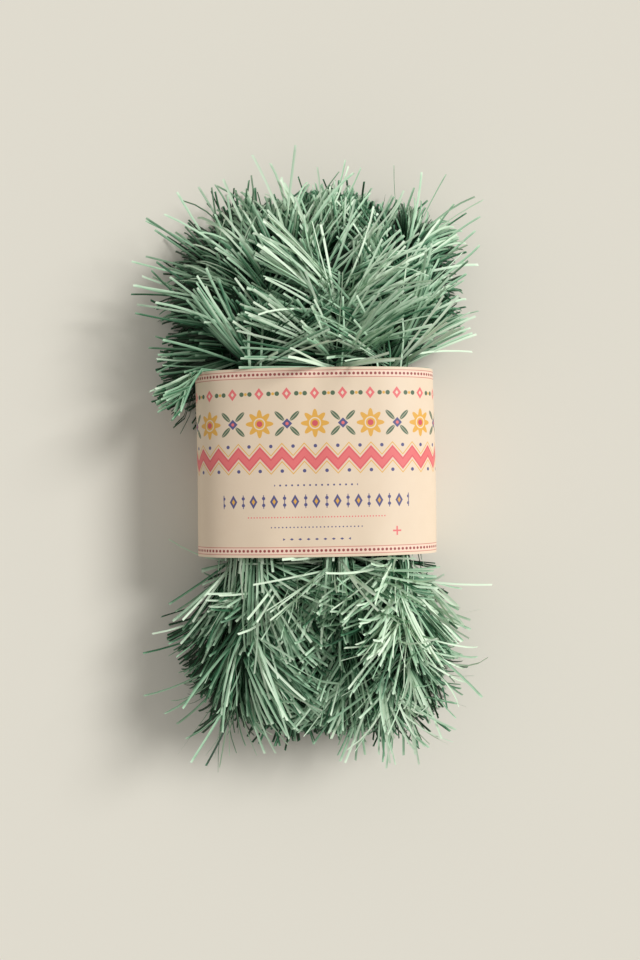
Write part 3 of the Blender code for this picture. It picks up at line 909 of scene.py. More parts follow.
@dataclass
class HankRoute:
    """The way the garland's core takes through the folded hank.

    Its runs lie where the frame's do: each run's place is a share of the band's bore,
    across and up, in the order in which the garland visits them. The bore's power
    says how square its corners are, and the least steps are those of a run's straight
    part, of a fold's half and of a waist.
    """

    runs: tuple[tuple[str, float, float], ...] = (
        ("inner_left", -0.26, 0.00),
        ("side_left", -0.77, 0.00),
        ("front_left", -0.60, 0.62),
        ("front_middle", 0.21, 0.70),
        ("front_right", 0.76, 0.52),
        ("side_right", 0.81, -0.06),
        ("inner_right", 0.26, 0.00),
        ("back_far_right", 0.69, -0.58),
        ("back_right", 0.35, -0.62),
        ("back_middle", 0.00, -0.62),
        ("back_left", -0.35, -0.62),
        ("back_far_left", -0.69, -0.56),
    )
    waist_share: float = 0.82
    wall: float = 0.4 * MM
    core_radius: float = 1.5 * MM
    end_setback: float = 34 * MM
    tail: float = 4 * MM
    bore_power: float = 2.5
    least_steps: tuple[int, int, int] = (3, 4, 2)
    half_width: float = field(init=False)
    half_depth: float = field(init=False)
    half_height: float = field(init=False)
    middle_z: float = field(init=False)
    reach: float = field(init=False)

    def __post_init__(self) -> None:
        """Reads the band's and the core's sizes from the frame."""
        low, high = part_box("belly_band")
        self.half_width = (high[0] - low[0]) / 2 - self.wall
        self.half_depth = (high[2] - low[2]) / 2 - self.wall
        self.half_height = (high[1] - low[1]) / 2
        self.middle_z = (high[2] + low[2]) / 2
        self.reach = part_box("core_cord")[1][1] - self.core_radius

    def place(self, run: int, share: float) -> np.ndarray:
        """Where a run lies across and up.

        Args:
            run: The run's number.
            share: How much of its spread at the ends it has there.

        Returns:
            The point.
        """
        _, across, up = self.runs[run]
        z = self.middle_z + up * self.half_depth * share
        return np.array([across * self.half_width * share, 0.0, z])

    def neighbour(self, run: int, zone: Zone) -> int | None:
        """The run that this one folds over to at an end, if any."""
        beyond = run + (zone.value if run % 2 == 0 else -zone.value)
        return beyond if 0 <= beyond < len(self.runs) else None

    def half_run(self, run: int, zone: Zone, step: float) -> np.ndarray:
        """Points from the band's edge to the top of the fold, or to a free end.

        Args:
            run: The run's number.
            zone: The end that it leads to.
            step: About how far apart the points are.

        Returns:
            The points, in order.
        """
        beyond = self.neighbour(run, zone)
        short = self.end_setback
        if beyond is not None:
            short = float(np.linalg.norm(self.place(beyond, 1.0) - self.place(run, 1.0))) / 2
        straight = self.reach - short
        count = max(self.least_steps[0], round((straight - self.half_height) / step))
        points = []
        for share in np.linspace(0.0, 1.0, count + 1):
            ease = share * share * (3 - 2 * share)
            spread = lerp(self.waist_share, 1.0, ease)
            distance = lerp(self.half_height, straight, share)
            points.append(self.place(run, spread) + Y_AXIS * zone.value * distance)
        if beyond is not None:
            here, there = self.place(run, 1.0), self.place(beyond, 1.0)
            toward = unit(there - here)
            centre = (here + there) / 2 + Y_AXIS * zone.value * straight
            turns = max(self.least_steps[1], round(math.pi / 2 * short / step))
            for turn in np.linspace(0.0, math.pi / 2, turns + 1)[1:]:
                offset = Y_AXIS * zone.value * math.sin(turn) - toward * math.cos(turn)
                points.append(centre + offset * short)
        return np.array(points)

    def whole(self, step: float) -> np.ndarray:
        """The core's line from one end of the garland to the other.

        Args:
            step: About how far apart the points are.

        Returns:
            The points, in order.
        """
        parts = []
        for run in range(len(self.runs)):
            zones = (Zone.BOTTOM, Zone.TOP) if run % 2 == 0 else (Zone.TOP, Zone.BOTTOM)
            coming = self.half_run(run, zones[0], step)[::-1]
            going = self.half_run(run, zones[1], step)
            count = max(self.least_steps[2], round(2 * self.half_height / step))
            waist = [lerp(coming[-1], going[0], share) for share in shares(count)[1:-1]]
            parts += [coming[1:] if parts else coming, np.array(waist), going]
        points = np.concatenate(parts)
        first = points[0] + Y_AXIS * math.copysign(self.tail, points[0][1])
        last = points[-1] + Y_AXIS * math.copysign(self.tail, points[-1][1])
        return np.concatenate([[first], points, [last]])

    def bore_share(self, points: np.ndarray, inset: float) -> np.ndarray:
        """How far out points lie across the band's bore.

        Args:
            points: The points.
            inset: How far inside the wall the bore is taken to end.

        Returns:
            A share for each point: 1 is where the bore ends.
        """
        x = np.abs(points[..., 0]) / (self.half_width - inset)
        z = (points[..., 2] - self.middle_z) / (self.half_depth - inset)
        return (x ** self.bore_power + np.abs(z) ** self.bore_power) ** (1 / self.bore_power)


@dataclass(frozen=True)
class Outline:
    """The hank's rounded outline from above, which the strands' tips keep inside.

    The heights are those at the bottom and at the top. The powers say how square the
    corners are: bottom left and right, then top left and right. The outline narrows
    by the taper for each metre above its level, within the span round that level.
    From the start's share of it tips bend down, the more the further out, up to the
    most.
    """

    middle: float = 4 * MM
    width: float = 102 * MM
    heights: tuple[float, float] = (149 * MM, 153 * MM)
    powers: tuple[tuple[float, float], tuple[float, float]] = ((2.8, 2.0), (1.65, 1.7))
    taper: float = 1.7
    level: float = 30 * MM
    span: tuple[float, float] = (-20 * MM, 50 * MM)
    start: float = 0.94
    strength: float = 22.0
    most: float = 3.2

    def outside(self, points: np.ndarray) -> np.ndarray:
        """How strongly strands whose tips are at these points have to hang down.

        Args:
            points: The tips.

        Returns:
            A bend for each, 0 where the tip is well inside.
        """
        x = np.abs(points[:, 0] - self.middle) / self.width
        y = np.abs(points[:, 1]) / np.where(points[:, 1] < 0, *self.heights)
        at_left, at_bottom = points[:, 0] < self.middle, points[:, 1] < 0
        power = np.where(at_bottom, *(np.where(at_left, *pair) for pair in self.powers))
        share = (x ** power + y ** power) ** (1 / power)
        share = share * (1 + self.taper * np.clip(points[:, 2] - self.level, *self.span))
        return np.clip((share - self.start) * self.strength, 0, self.most)


@dataclass(frozen=True)
class Clearance:
    """The room that strands keep to the floor, to the hank's top and to the band.

    The floor and the top turn them softly. The band keeps strands off its edge out to
    the wall's share of a bore that is a little wider than its own, and those above it
    a little past its sides too. Each of the two fades out.
    """

    top: float = 88 * MM
    softness: float = 2.5 * MM
    floor: float = 0.8 * MM
    wall: float = 2.0 * MM
    wall_share: float = 1.12
    wall_fade: float = 0.1
    side: float = 1.0 * MM
    side_fade: float = 3.0 * MM
    edge: float = 0.6 * MM

    def kept_off(self, lines: np.ndarray, route: HankRoute) -> np.ndarray:
        """Moves lines off the floor, under the top and clear of the band's wall.

        Args:
            lines: The points of each line, which are moved.
            route: The core's route, with the band's sizes.

        Returns:
            The same lines.
        """
        z = self.softness * np.logaddexp(0.0, lines[..., 2] / self.softness) + self.floor
        lines[..., 2] = self.top - self.softness * np.logaddexp(0.0, (self.top - z) / self.softness)
        by_wall = (self.wall_share - route.bore_share(lines, -self.wall)) / self.wall_fade
        above = (route.half_width + self.side - np.abs(lines[..., 0])) / self.side_fade
        above = np.where(lines[..., 2] > route.middle_z, above, 0.0)
        guard = np.clip(np.maximum(by_wall, above), 0.0, 1.0)
        short = np.maximum(0.0, route.half_height + self.edge - np.abs(lines[..., 1])) * guard
        lines[..., 1] += np.sign(lines[..., 1]) * short
        return lines


@dataclass(frozen=True)
class PressedHabit:
    """How the strands lie that the band presses flat.

    Turns, in degrees, and tones are spreads: how much locks differ, then how much a
    lock's strands do. The loose ones lie towards the middle: their shares are below
    it and above it, and pale is for them and for the others; the loose ones' is painted
    light that lifts the shade under the band's edge. The reach is how much of
    its length a strand covers, and what its tip adds.
    """

    plies: int = 9
    turns: tuple[float, float] = (14.0, 6.0)
    loose: tuple[float, float] = (0.34, 0.051)
    rises: tuple[float, float] = (4 * MM, 16 * MM)
    lengths: tuple[float, float] = (0.9, 1.0)
    reach: tuple[float, float] = (0.9, 0.08)
    scatter: float = 1 * MM
    inset: float = 1.3 * MM
    tones: tuple[float, float] = (0.13, 0.14)
    pale: tuple[float, float] = (0.36, 0.1)


@dataclass
class Stretch:
    """A stretch of the core whose strands are being drawn.

    It has a station at each of the core's points, and as many plies of strands as the
    habit says. The locks are the number of each strand's lock, by station and ply.
    """

    core: np.ndarray
    plies: int
    pitch: float
    locks: np.ndarray
    rng: np.random.Generator

    def each(self, between: float, within: float) -> np.ndarray:
        """Draws a value for each strand that differs more between locks than within one.

        Args:
            between: How much the locks differ.
            within: How much a lock's strands differ.

        Returns:
            The values, around zero.
        """
        apart = self.rng.normal(0, between, self.locks.max() + 1)[self.locks]
        return apart + self.rng.normal(0, within, self.locks.shape)

    def turns(self) -> np.ndarray:
        """Even turns round the core, one for each ply, from a random first one."""
        return 2 * math.pi * np.arange(self.plies) / self.plies + self.rng.uniform(0, 2 * math.pi)

    def wander(self, size: float) -> np.ndarray:
        """Draws a slow change along each ply.

        Args:
            size: How large the change is, in degrees.

        Returns:
            The change for each station and ply, in radians.
        """
        stations = len(self.core)
        walked = np.linspace(0, 1, stations) * self.pitch * stations
        total = np.zeros((stations, self.plies))
        for shortest, longest, share in WANDER_WAVES:
            waves = self.rng.uniform(shortest, longest, self.plies) * MM
            phases = self.rng.uniform(0, 2 * math.pi, self.plies)
            total += share * np.sin(2 * math.pi * walked[:, None] / waves + phases)
        return total * math.radians(size)


@dataclass
class Fringe:
    """The paper strands round the core, drawn slice by slice as the frame has them.

    Neighbouring strands lie in locks: each lock has its own lean, turn, curl and
    tone, and its strands differ only a little. A spread is how much locks differ, and
    then how much the strands of one lock do. Angles are in degrees, and a pair that
    names shares, droops or what strands hang or are cut to runs from least to most.

    Strays curl and lean more and are deeper in tone. A lean is no less than the
    habit's with the first of least_lean added, or than the second. Strands that rise
    above the crossing height can lie over the core, those that point at the band are
    turned back from it, and those outside the outline hang further and are drawn in.
    Painted shade makes the paper deeper in tone the further it lies below the fringe's surface.
    """

    route: HankRoute
    material: bpy.types.Material
    outline: Outline = Outline()
    clearance: Clearance = Clearance()
    pressed: PressedHabit = PressedHabit()
    strand_length: float = 50 * MM
    strand_width: float = 1.2 * MM
    length_share: float = 0.97
    length_spread: tuple[float, float] = (0.025, 0.008)
    width_shares: tuple[float, float] = (0.85, 1.12)
    cut_share: float = 0.13
    cut_to: tuple[float, float] = (0.55, 0.9)
    pitch: float = 1.6 * MM
    lock_plies: int = 3
    lock_length: float = 9 * MM
    lock_shares: tuple[float, float] = (0.6, 1.5)
    rows: int = 7
    twist: float = 16.0
    spin_spread: tuple[float, float] = (26.0, 11.0)
    curl_within: float = 0.6
    stray_curl: float = 2.5
    stray_lean: float = 26.0
    turn_wander: float = 10.0
    turn_within: float = 4.5
    lean_wander: float = 5.0
    least_lean: tuple[float, float] = (-8.0, 4.0)
    steep_between: float = 7.0
    crossing_height: float = 0.3
    turned_back: float = 1.7
    fold_share: float = 0.6
    fan_spread: tuple[float, float] = (0.36, 0.05)
    droops: tuple[float, float] = (0.1, 0.4)
    hang: tuple[float, float] = (0.4, 1.2)
    draw_in: float = 0.12
    rounding: float = 0.6
    mouth_share: float = 0.22
    root_share: float = 0.9
    heading_radius: float = 2.1 * MM
    heading_shares: tuple[float, float] = (0.85, 1.15)
    heading_sides: int = 8
    heading_tones: tuple[float, float] = (0.5, 0.3)
    heading_places: tuple[float, float] = (0.02, 0.1)
    tone: float = 0.3
    tone_spread: tuple[float, float] = (0.1, 0.17)
    # Painted shade deepens strands below the fringe's surface, over this reach and to this depth.
    shade_reach: float = 26 * MM
    shade_depth: float = 0.74
    stray_shade: float = 0.1
    cell: float = 5 * MM
    cells: int = 100
    surface_passes: int = 3
    map_across: tuple[float, float] = (0.08, 0.92)
    map_along: tuple[float, float] = (0.01, 0.99)
    seed: int = 41
    seed_step: int = 10

    def build(self) -> None:
        """Makes every slice's strands in the order of the hank's runs."""
        slices = []
        for run, (label, _, _) in enumerate(self.route.runs):
            for zone in Zone:
                rng = np.random.default_rng(self.seed + self.seed_step * run + zone.value)
                slices.append((f"fringe_{label}_{zone.name.lower()}", rng, *self._slice(run, zone, rng)))
        surface = self._surface(np.concatenate([lines for _, _, _, (lines, _, _) in slices]))
        for node, rng, core, (lines, wide, tones) in slices:
            # Painted shade: strands that lie below the fringe's surface are made deeper in tone.
            tones = tones - self.shade_depth * self._sunk(lines, surface)
            parts = [self._heading(core, rng), self._ribbons(lines, wide, tones, rng)]
            piece = add_piece(f"{node}_strands", self._joined(node, parts), self.material)
            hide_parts(node)
            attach(piece, "hank")
            LOG.info("%s: %d strands", piece.name, len(lines))

    def _slice(self, run: int, zone: Zone, rng: np.random.Generator) -> tuple[np.ndarray, Strands]:
        """Draws the strands of a slice.

        Args:
            run: The run's number.
            zone: The part of the run.
            rng: The source of chance.

        Returns:
            The core's points in the slice, and its strands.
        """
        if zone is Zone.WAIST:
            low, high = (self.route.half_run(run, side, self.pitch)[0] for side in (Zone.BOTTOM, Zone.TOP))
            count = round(2 * self.route.half_height / self.pitch)
            core = np.array([lerp(low, high, share) for share in shares(count)])
            return core, self._waist_strands(core, rng)
        core = self.route.half_run(run, zone, self.pitch)
        habit = HABITS.get((self.route.runs[run][0], zone), Habit())
        return core, self._free_strands(core, zone, habit, rng)

    def _cells(self, points: np.ndarray) -> tuple[np.ndarray, np.ndarray]:
        """The cell of the height map under each point: its column and its row."""
        spots = np.clip((points[..., :2] / self.cell).astype(int) + self.cells // 2, 1, self.cells - 2)
        return spots[..., 0], spots[..., 1]

    def _surface(self, lines: np.ndarray) -> np.ndarray:
        """Maps how high the fringe stands.

        Args:
            lines: The points of every strand.

        Returns:
            The height in each cell, smoothed.
        """
        heights = np.zeros((self.cells, self.cells))
        np.maximum.at(heights, self._cells(lines), lines[..., 2])
        shifts = ((0, 0), (0, 1), (0, -1), (1, 0), (-1, 0))
        for _ in range(self.surface_passes):
            heights = np.mean([np.roll(heights, shift, (0, 1)) for shift in shifts], axis=0)
        return heights

    def _sunk(self, lines: np.ndarray, surface: np.ndarray) -> np.ndarray:
        """How deep strands lie below the fringe's surface, which sets their painted shade.

        Args:
            lines: The points of each strand.
            surface: The height map.

        Returns:
            A share for each strand: 0 at the surface, 1 where the tone is deepest.
        """
        outer = lines[:, self.rows // 2:]
        depths = surface[self._cells(outer)] - outer[..., 2]
        return np.clip(depths.mean(axis=1) / self.shade_reach, 0.0, 1.0)

    @staticmethod
    def _joined(name: str, parts: list[Patch]) -> bpy.types.Mesh:
        """Joins several patches.

        Args:
            name: The mesh's name.
            parts: The points, faces and map places of each patch.

        Returns:
            One mesh of them all.
        """
        starts = np.cumsum([0] + [len(points) for points, _, _ in parts[:-1]])
        points = np.concatenate([points for points, _, _ in parts])
        quads = np.concatenate([quads + start for start, (_, quads, _) in zip(starts, parts)])
        uvs = np.concatenate([uvs for _, _, uvs in parts])
        return quad_mesh(name, points, quads, uvs)

    @staticmethod
    def _carried_axes(core: np.ndarray) -> tuple[np.ndarray, np.ndarray, np.ndarray]:
        """Carries two axes along the core without a twist.

        Args:
            core: The core's points.

        Returns:
            At each point the core's way, and two axes across it.
        """
        ways = unit(np.gradient(core, axis=0))
        side = unit(X_AXIS - ways[0] * float(X_AXIS @ ways[0]))
        sides = [side]
        for before, way in zip(ways, ways[1:]):
            side = side - (before + way) * float(side @ way) / (1 + float(before @ way))
            sides.append(side)
        sides = unit(np.array(sides))
        return ways, sides, np.cross(sides, ways)

    def _parted(self, core: np.ndarray, plies: int, rng: np.random.Generator) -> Stretch:
        """Parts the strands of a stretch into locks.

        Args:
            core: The core's points there.
            plies: How many plies there are.
            rng: The source of chance.

        Returns:
            The stretch.
        """
        groups = -(-plies // self.lock_plies)
        size = self.lock_length * rng.uniform(*self.lock_shares, groups)
        starts = rng.uniform(0, 1, groups) * size
        place = ((walked_along(core)[:, None] + starts) / size).astype(int)
        numbers = place + np.arange(groups) * (place.max() + 1)
        locks = np.repeat(numbers, self.lock_plies, axis=1)[:, :plies]
        return Stretch(core, plies, self.pitch, locks, rng)

    def _free_strands(
        self, core: np.ndarray, zone: Zone, habit: Habit, rng: np.random.Generator
    ) -> Strands:
        """Draws the strands of a free stretch.

        Args:
            core: The core's points there, from the band outwards.
            zone: The end of the hank.
            habit: How the strands lie.
            rng: The source of chance.

        Returns:
            The points of each line, the way in which its strip is wide, and its tone.
        """
        ways, sides, tops = self._carried_axes(core)
        stretch = self._parted(core, habit.plies, rng)
        shape = stretch.locks.shape
        stations = np.arange(len(core))
        spots = stations[:, None] + rng.uniform(-0.5, 0.5, shape)
        roots = np.stack([np.interp(spots, stations, core[:, k]) for k in range(3)], axis=-1)
        heads, radials, stray = self._headings(stretch, habit, (sides, tops), roots, Y_AXIS * zone.value)
        roots = roots + radials * self.heading_radius * self.root_share
        wide = self._widths(roots, heads, ways, stretch.each(*np.radians(self.spin_spread)), habit)
        lengths = self.strand_length * (self.length_share + stretch.each(*self.length_spread))
        cut = rng.random(shape) < self.cut_share
        lengths = np.where(cut, lengths * rng.uniform(*self.cut_to, shape), lengths).ravel()
        droop = lerp(*self.droops, rng.random(stretch.locks.max() + 1)[stretch.locks].ravel())
        curl = math.radians(habit.curl)
        curls = [stretch.each(curl, curl * self.curl_within) for _ in range(3)]
        bends = np.stack(curls, axis=-1) * np.where(stray, self.stray_curl, 1.0)[..., None]
        bends = bends.reshape(-1, 3)
        start = (roots.reshape(-1, 3), heads.reshape(-1, 3))
        tips = self._grown(*start, bends - droop[:, None] * Z_AXIS, lengths)[:, -1]
        over = self.outline.outside(tips) * np.where(stray.ravel(), 0.0, 1.0)
        droop = droop + over * rng.uniform(*self.hang, len(over))
        inward = -unit(tips * (X_AXIS + Y_AXIS)) * over[:, None] * self.draw_in
        lines = self._grown(*start, bends - droop[:, None] * Z_AXIS + inward, lengths)
        # pale carries the painted light and shade, the base tone and the strays' deeper tone.
        pale = self._painted_light_and_shade(core, heads, habit) + self.tone - self.stray_shade * stray
        tones = (stretch.each(*self.tone_spread) + pale).ravel()
        return self.clearance.kept_off(lines, self.route), wide.reshape(-1, 3), tones

    def _widths(
        self, roots: np.ndarray, heads: np.ndarray, ways: np.ndarray, spin: np.ndarray, habit: Habit
    ) -> np.ndarray:
        """The way in which each strip of a free stretch is wide.

        Args:
            roots: Where each strand starts.
            heads: The way in which it starts.
            ways: The core's way at each station.
            spin: How far each is turned about its own length, in radians.
            habit: How the strands lie.

        Returns:
            A way across each strand.
        """
        wide = unit(ways[:, None] - heads * (ways[:, None] * heads).sum(-1, keepdims=True))
        sideways = (roots[..., :1] + self.strand_length / 2 * heads[..., :1]) / self.route.half_width
        up = Z_AXIS + self.rounding * sideways * X_AXIS
        level = unit(np.cross(heads, up) + TINY * X_AXIS)
        level = level * np.where((level * wide).sum(-1, keepdims=True) < 0, -1.0, 1.0)
        wide = unit(lerp(wide, level, habit.levelled))
        return wide * np.cos(spin)[..., None] + np.cross(heads, wide) * np.sin(spin)[..., None]

    def _painted_light_and_shade(self, core: np.ndarray, heads: np.ndarray, habit: Habit) -> np.ndarray:
        """How much painted light and shade make each strand of a free stretch paler or deeper.

        Args:
            core: The core's points.
            heads: The way in which each strand starts.
            habit: How the strands lie.

        Returns:
            What to add to each strand's tone.
        """
        pale = np.where(heads[..., 0] < 0, habit.painted_light_left, habit.painted_light_right)
        at_fold = self._share_out(core)[:, None] ** 2
        return pale + habit.painted_light_mouth * self._at_band(core) + habit.painted_light_fold * at_fold

    def _share_out(self, core: np.ndarray) -> np.ndarray:
        """How far out along the hank each point lies: 0 at the band and 1 at the fold."""
        half = self.route.half_height
        return (np.abs(core[:, 1]) - half) / (self.route.reach - half)

    def _at_band(self, core: np.ndarray) -> np.ndarray:
        """How close to the band each station lies: 1 at its edge, 0 beyond its mouth."""
        return np.clip(1 - self._share_out(core) / self.mouth_share, 0, 1)[:, None]

    def _headings(
        self, stretch: Stretch, habit: Habit, axes: tuple[np.ndarray, np.ndarray], roots: np.ndarray,
        away: np.ndarray,
    ) -> tuple[np.ndarray, np.ndarray, np.ndarray]:
        """The ways in which the strands of a free stretch leave the core.

        Args:
            stretch: The stretch of the core.
            habit: How the strands lie.
            axes: Two axes across the core at each of its points.
            roots: Where each strand starts.
            away: The way from the band to the fold.

        Returns:
            The ways, the ways straight out of the core, and which strands are strays.
        """
        tousle, disorder = math.radians(habit.tousle), math.radians(habit.disorder)
        turn = stretch.turns() + stretch.wander(self.turn_wander)
        turn = turn + stretch.each(tousle, math.radians(self.turn_within))
        radials = np.cos(turn)[..., None] * axes[0][:, None] + np.sin(turn)[..., None] * axes[1][:, None]
        out = radials
        if habit.crossing:
            crosses = stretch.rng.random(turn.shape) < habit.crossing
            crosses = crosses & (out[..., 2] > self.crossing_height)
            out = np.where(crosses[..., None], out * (1 - 2 * X_AXIS), out)
        is_left, height = out[..., 0] < 0, out[..., 2]
        share, at_band = self._share_out(stretch.core), self._at_band(stretch.core)
        level = out - height[..., None] * Z_AXIS
        backward = np.minimum(0.0, level @ away)[..., None]
        level = unit(level - self.turned_back * backward * away + TINY * X_AXIS)
        rise = lerp(habit.rise, np.maximum(habit.rise, habit.mouth), at_band)
        tilt = np.where(is_left, habit.tilt_left, habit.tilt_right) * (1 - at_band)
        steep = np.radians(np.where(height > 0, rise, habit.fall) * height + tilt)
        steep = steep + stretch.each(math.radians(self.steep_between), disorder)
        out = level * np.cos(steep)[..., None] + np.sin(steep)[..., None] * Z_AXIS
        left, right = (np.interp(share, shares(2), leans)[:, None] for leans in (habit.left, habit.right))
        habitual = np.where(is_left, left, right)
        lean = np.radians(habitual) + stretch.wander(self.lean_wander)
        stray = stretch.rng.random(lean.shape) < habit.strays
        lean = lean + stretch.each(tousle, disorder)
        lean = lean + stretch.rng.normal(0, math.radians(self.stray_lean), lean.shape) * stray
        lean = np.maximum(lean, np.radians(np.minimum(habitual + self.least_lean[0], self.least_lean[1])))
        heads = out * np.cos(lean)[..., None] + away * np.sin(lean)[..., None]
        at_fold = np.clip((share - self.fold_share) / (1 - self.fold_share), 0, 1)[:, None]
        fan = habit.fan * roots[..., 0] / self.route.half_width + stretch.each(*self.fan_spread)
        fan = fan + habit.parting * np.where(is_left, -1, 1)
        return unit(heads + (at_fold * fan)[..., None] * X_AXIS), radials, stray

    def _grown(
        self, roots: np.ndarray, heads: np.ndarray, bends: np.ndarray, lengths: np.ndarray
    ) -> np.ndarray:
        """Grows lines that turn steadily from the way in which they start.

        Args:
            roots: Where each line starts.
            heads: The way in which it starts.
            bends: What is added to its way by its tip.
            lengths: Its length.

        Returns:
            The points of each line.
        """
        steps = self.rows - 1
        lines = [roots]
        for step in range(steps):
            ways = unit(heads + bends * (step + 0.5) / steps)
            lines.append(lines[-1] + ways * lengths[:, None] / steps)
        return np.stack(lines, axis=1)

    def _waist_strands(self, core: np.ndarray, rng: np.random.Generator) -> Strands:
        """Draws the strands that the band presses flat.

        Args:
            core: The core's points under the band.
            rng: The source of chance.

        Returns:
            The points of each line, the way in which its strip is wide, and its tone.
        """
        habit = self.pressed
        stretch = self._parted(core, habit.plies, rng)
        turn = stretch.turns() + stretch.each(*np.radians(habit.turns))
        out = (np.cos(turn)[..., None] * X_AXIS + np.sin(turn)[..., None] * Z_AXIS).reshape(-1, 3)
        roots = np.repeat(core, habit.plies, axis=0)
        amount = len(roots)
        loose = rng.random(amount) < np.where(roots[:, 1] > 0, habit.loose[1], habit.loose[0])
        ways = (np.where(loose, 1, -1) * np.sign(roots[:, 1]))[:, None] * Y_AXIS
        rise = rng.uniform(*habit.rises, amount)[:, None, None]
        along = np.linspace(0.0, 1.0, self.rows)[None, :, None]
        length = self.strand_length * rng.uniform(*habit.lengths, amount)[:, None, None]
        lines = roots[:, None] + ways[:, None] * length * along * (habit.reach[0] + habit.reach[1] * along)
        lines = lines + out[:, None] * rise * np.sqrt(along)
        lines = lines + rng.normal(0, habit.scatter, (amount, 1, 3)) * along
        over = np.maximum(1.0, self.route.bore_share(lines, habit.inset))
        middle = Z_AXIS * self.route.middle_z
        pressed = middle + (lines - middle) / over[..., None]
        lines[..., 0], lines[..., 2] = pressed[..., 0], pressed[..., 2]
        # Painted light lifts the loose strands that come out under the band's edge.
        tones = stretch.each(*habit.tones).ravel() + np.where(loose, *habit.pale)
        return lines, unit(np.cross(ways, out)), tones

    def _ribbons(
        self, lines: np.ndarray, wide: np.ndarray, tones: np.ndarray, rng: np.random.Generator
    ) -> Patch:
        """Makes flat strips along lines, each on a column of the paper's map.

        Args:
            lines: The points of each strip's middle line.
            wide: The way in which each strip is wide at its root.
            tones: How pale each strip is, around zero.
            rng: The source of chance.

        Returns:
            The points, the faces and the map's places.
        """
        amount, rows = lines.shape[:2]
        thick = np.cross(unit(lines[:, -1] - lines[:, 0]), wide)
        twist = rng.normal(0, math.radians(self.twist), amount)[:, None, None]
        twist = twist * np.linspace(0, 1, rows)[None, :, None]
        across = wide[:, None] * np.cos(twist) + thick[:, None] * np.sin(twist)
        width = self.strand_width * rng.uniform(*self.width_shares, amount)[:, None, None]
        points = np.stack([lines - across * width / 2, lines + across * width / 2], axis=2)
        first = np.arange(amount)[:, None] * rows * 2 + np.arange(rows - 1)[None] * 2
        quads = np.stack([first, first + 1, first + 3, first + 2], axis=-1).reshape(-1, 4)
        columns = StrandPaper.columns
        column = np.clip(((tones + 0.5) * columns).astype(int), 0, columns - 1)
        u = (column[:, None, None] + np.array(self.map_across)[None, None]) / columns
        v = np.linspace(*self.map_along, rows)[None, :, None]
        uvs = np.stack(np.broadcast_arrays(u, v), axis=-1)
        return points.reshape(-1, 3), quads, uvs.reshape(-1, 2)

    def _heading(self, core: np.ndarray, rng: np.random.Generator) -> Patch:
        """Makes the strip's gathered heading: a crumpled paper tube round the core.

        It takes the deepest columns of the paper's map, near their roots, where painted
        shade darkens it. Its tones and places there are those of one point, and what every
        other point adds.

        Args:
            core: The core's points in the slice.
            rng: The source of chance.

        Returns:
            The points, the faces and the map's places.
        """
        _, sides, tops = self._carried_axes(core)
        turns = np.linspace(0, 2 * math.pi, self.heading_sides, endpoint=False)[None, :, None]
        radius = self.heading_radius * rng.uniform(*self.heading_shares, (len(core), self.heading_sides))
        offset = np.cos(turns) * sides[:, None] + np.sin(turns) * tops[:, None]
        points = core[:, None] + offset * radius[..., None]
        here = np.arange(len(core) - 1)[:, None] * self.heading_sides
        place = np.arange(self.heading_sides)[None]
        turned = (place + 1) % self.heading_sides
        beyond = here + self.heading_sides
        quads = np.stack([here + place, here + turned, beyond + turned, beyond + place], axis=-1)
        station = np.arange(len(core))[:, None]
        u = (place + self.heading_tones[0] + self.heading_tones[1] * (place % 2)) / StrandPaper.columns
        # Near the roots of the map, where painted shade darkens the paper.
        v = self.heading_places[0] + self.heading_places[1] * (station % 2)
        uvs = np.stack(np.broadcast_arrays(u, v), axis=-1)
        return points.reshape(-1, 3), quads.reshape(-1, 4), uvs.reshape(-1, 2)


@dataclass
class CoreCord:
    """The cord that the fringe is gathered on, with its knots and hanging loops."""

    route: HankRoute
    material: bpy.types.Material
    length: float = 2.743
    step: float = 4 * MM
    roundness: int = 2

    def build(self) -> None:
        """Lays the cord along the hank and dresses what is tied to its ends."""
        points = self.route.whole(self.step)
        curve = bpy.data.curves.new("core_cord_laid", "CURVE")
        curve.dimensions = "3D"
        curve.bevel_depth = self.route.core_radius
        curve.bevel_resolution = self.roundness
        curve.use_fill_caps = True
        spline = curve.splines.new("POLY")
        spline.points.add(len(points) - 1)
        spline.points.foreach_set("co", np.c_[points, np.ones(len(points))].ravel())
        piece = add_piece("core_cord_laid", curve, self.material)
        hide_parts("core_cord")
        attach(piece, "hank")
        tied = ["end_knot_first", "hanging_loop_first", "end_knot_last", "hanging_loop_last"]
        for name in tied:
            dress(name, self.material)
        LOG.info("core_cord_laid: %d points", len(points))


def dress(node: str, material: bpy.types.Material) -> None:
    """Gives a node of the frame its finish.

    Args:
        node: The node's name.
        material: Its new material.
    """
    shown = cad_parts[node]
    shown.data.materials.clear()
    shown.data.materials.append(material)
    LOG.info("%s: dressed", node)


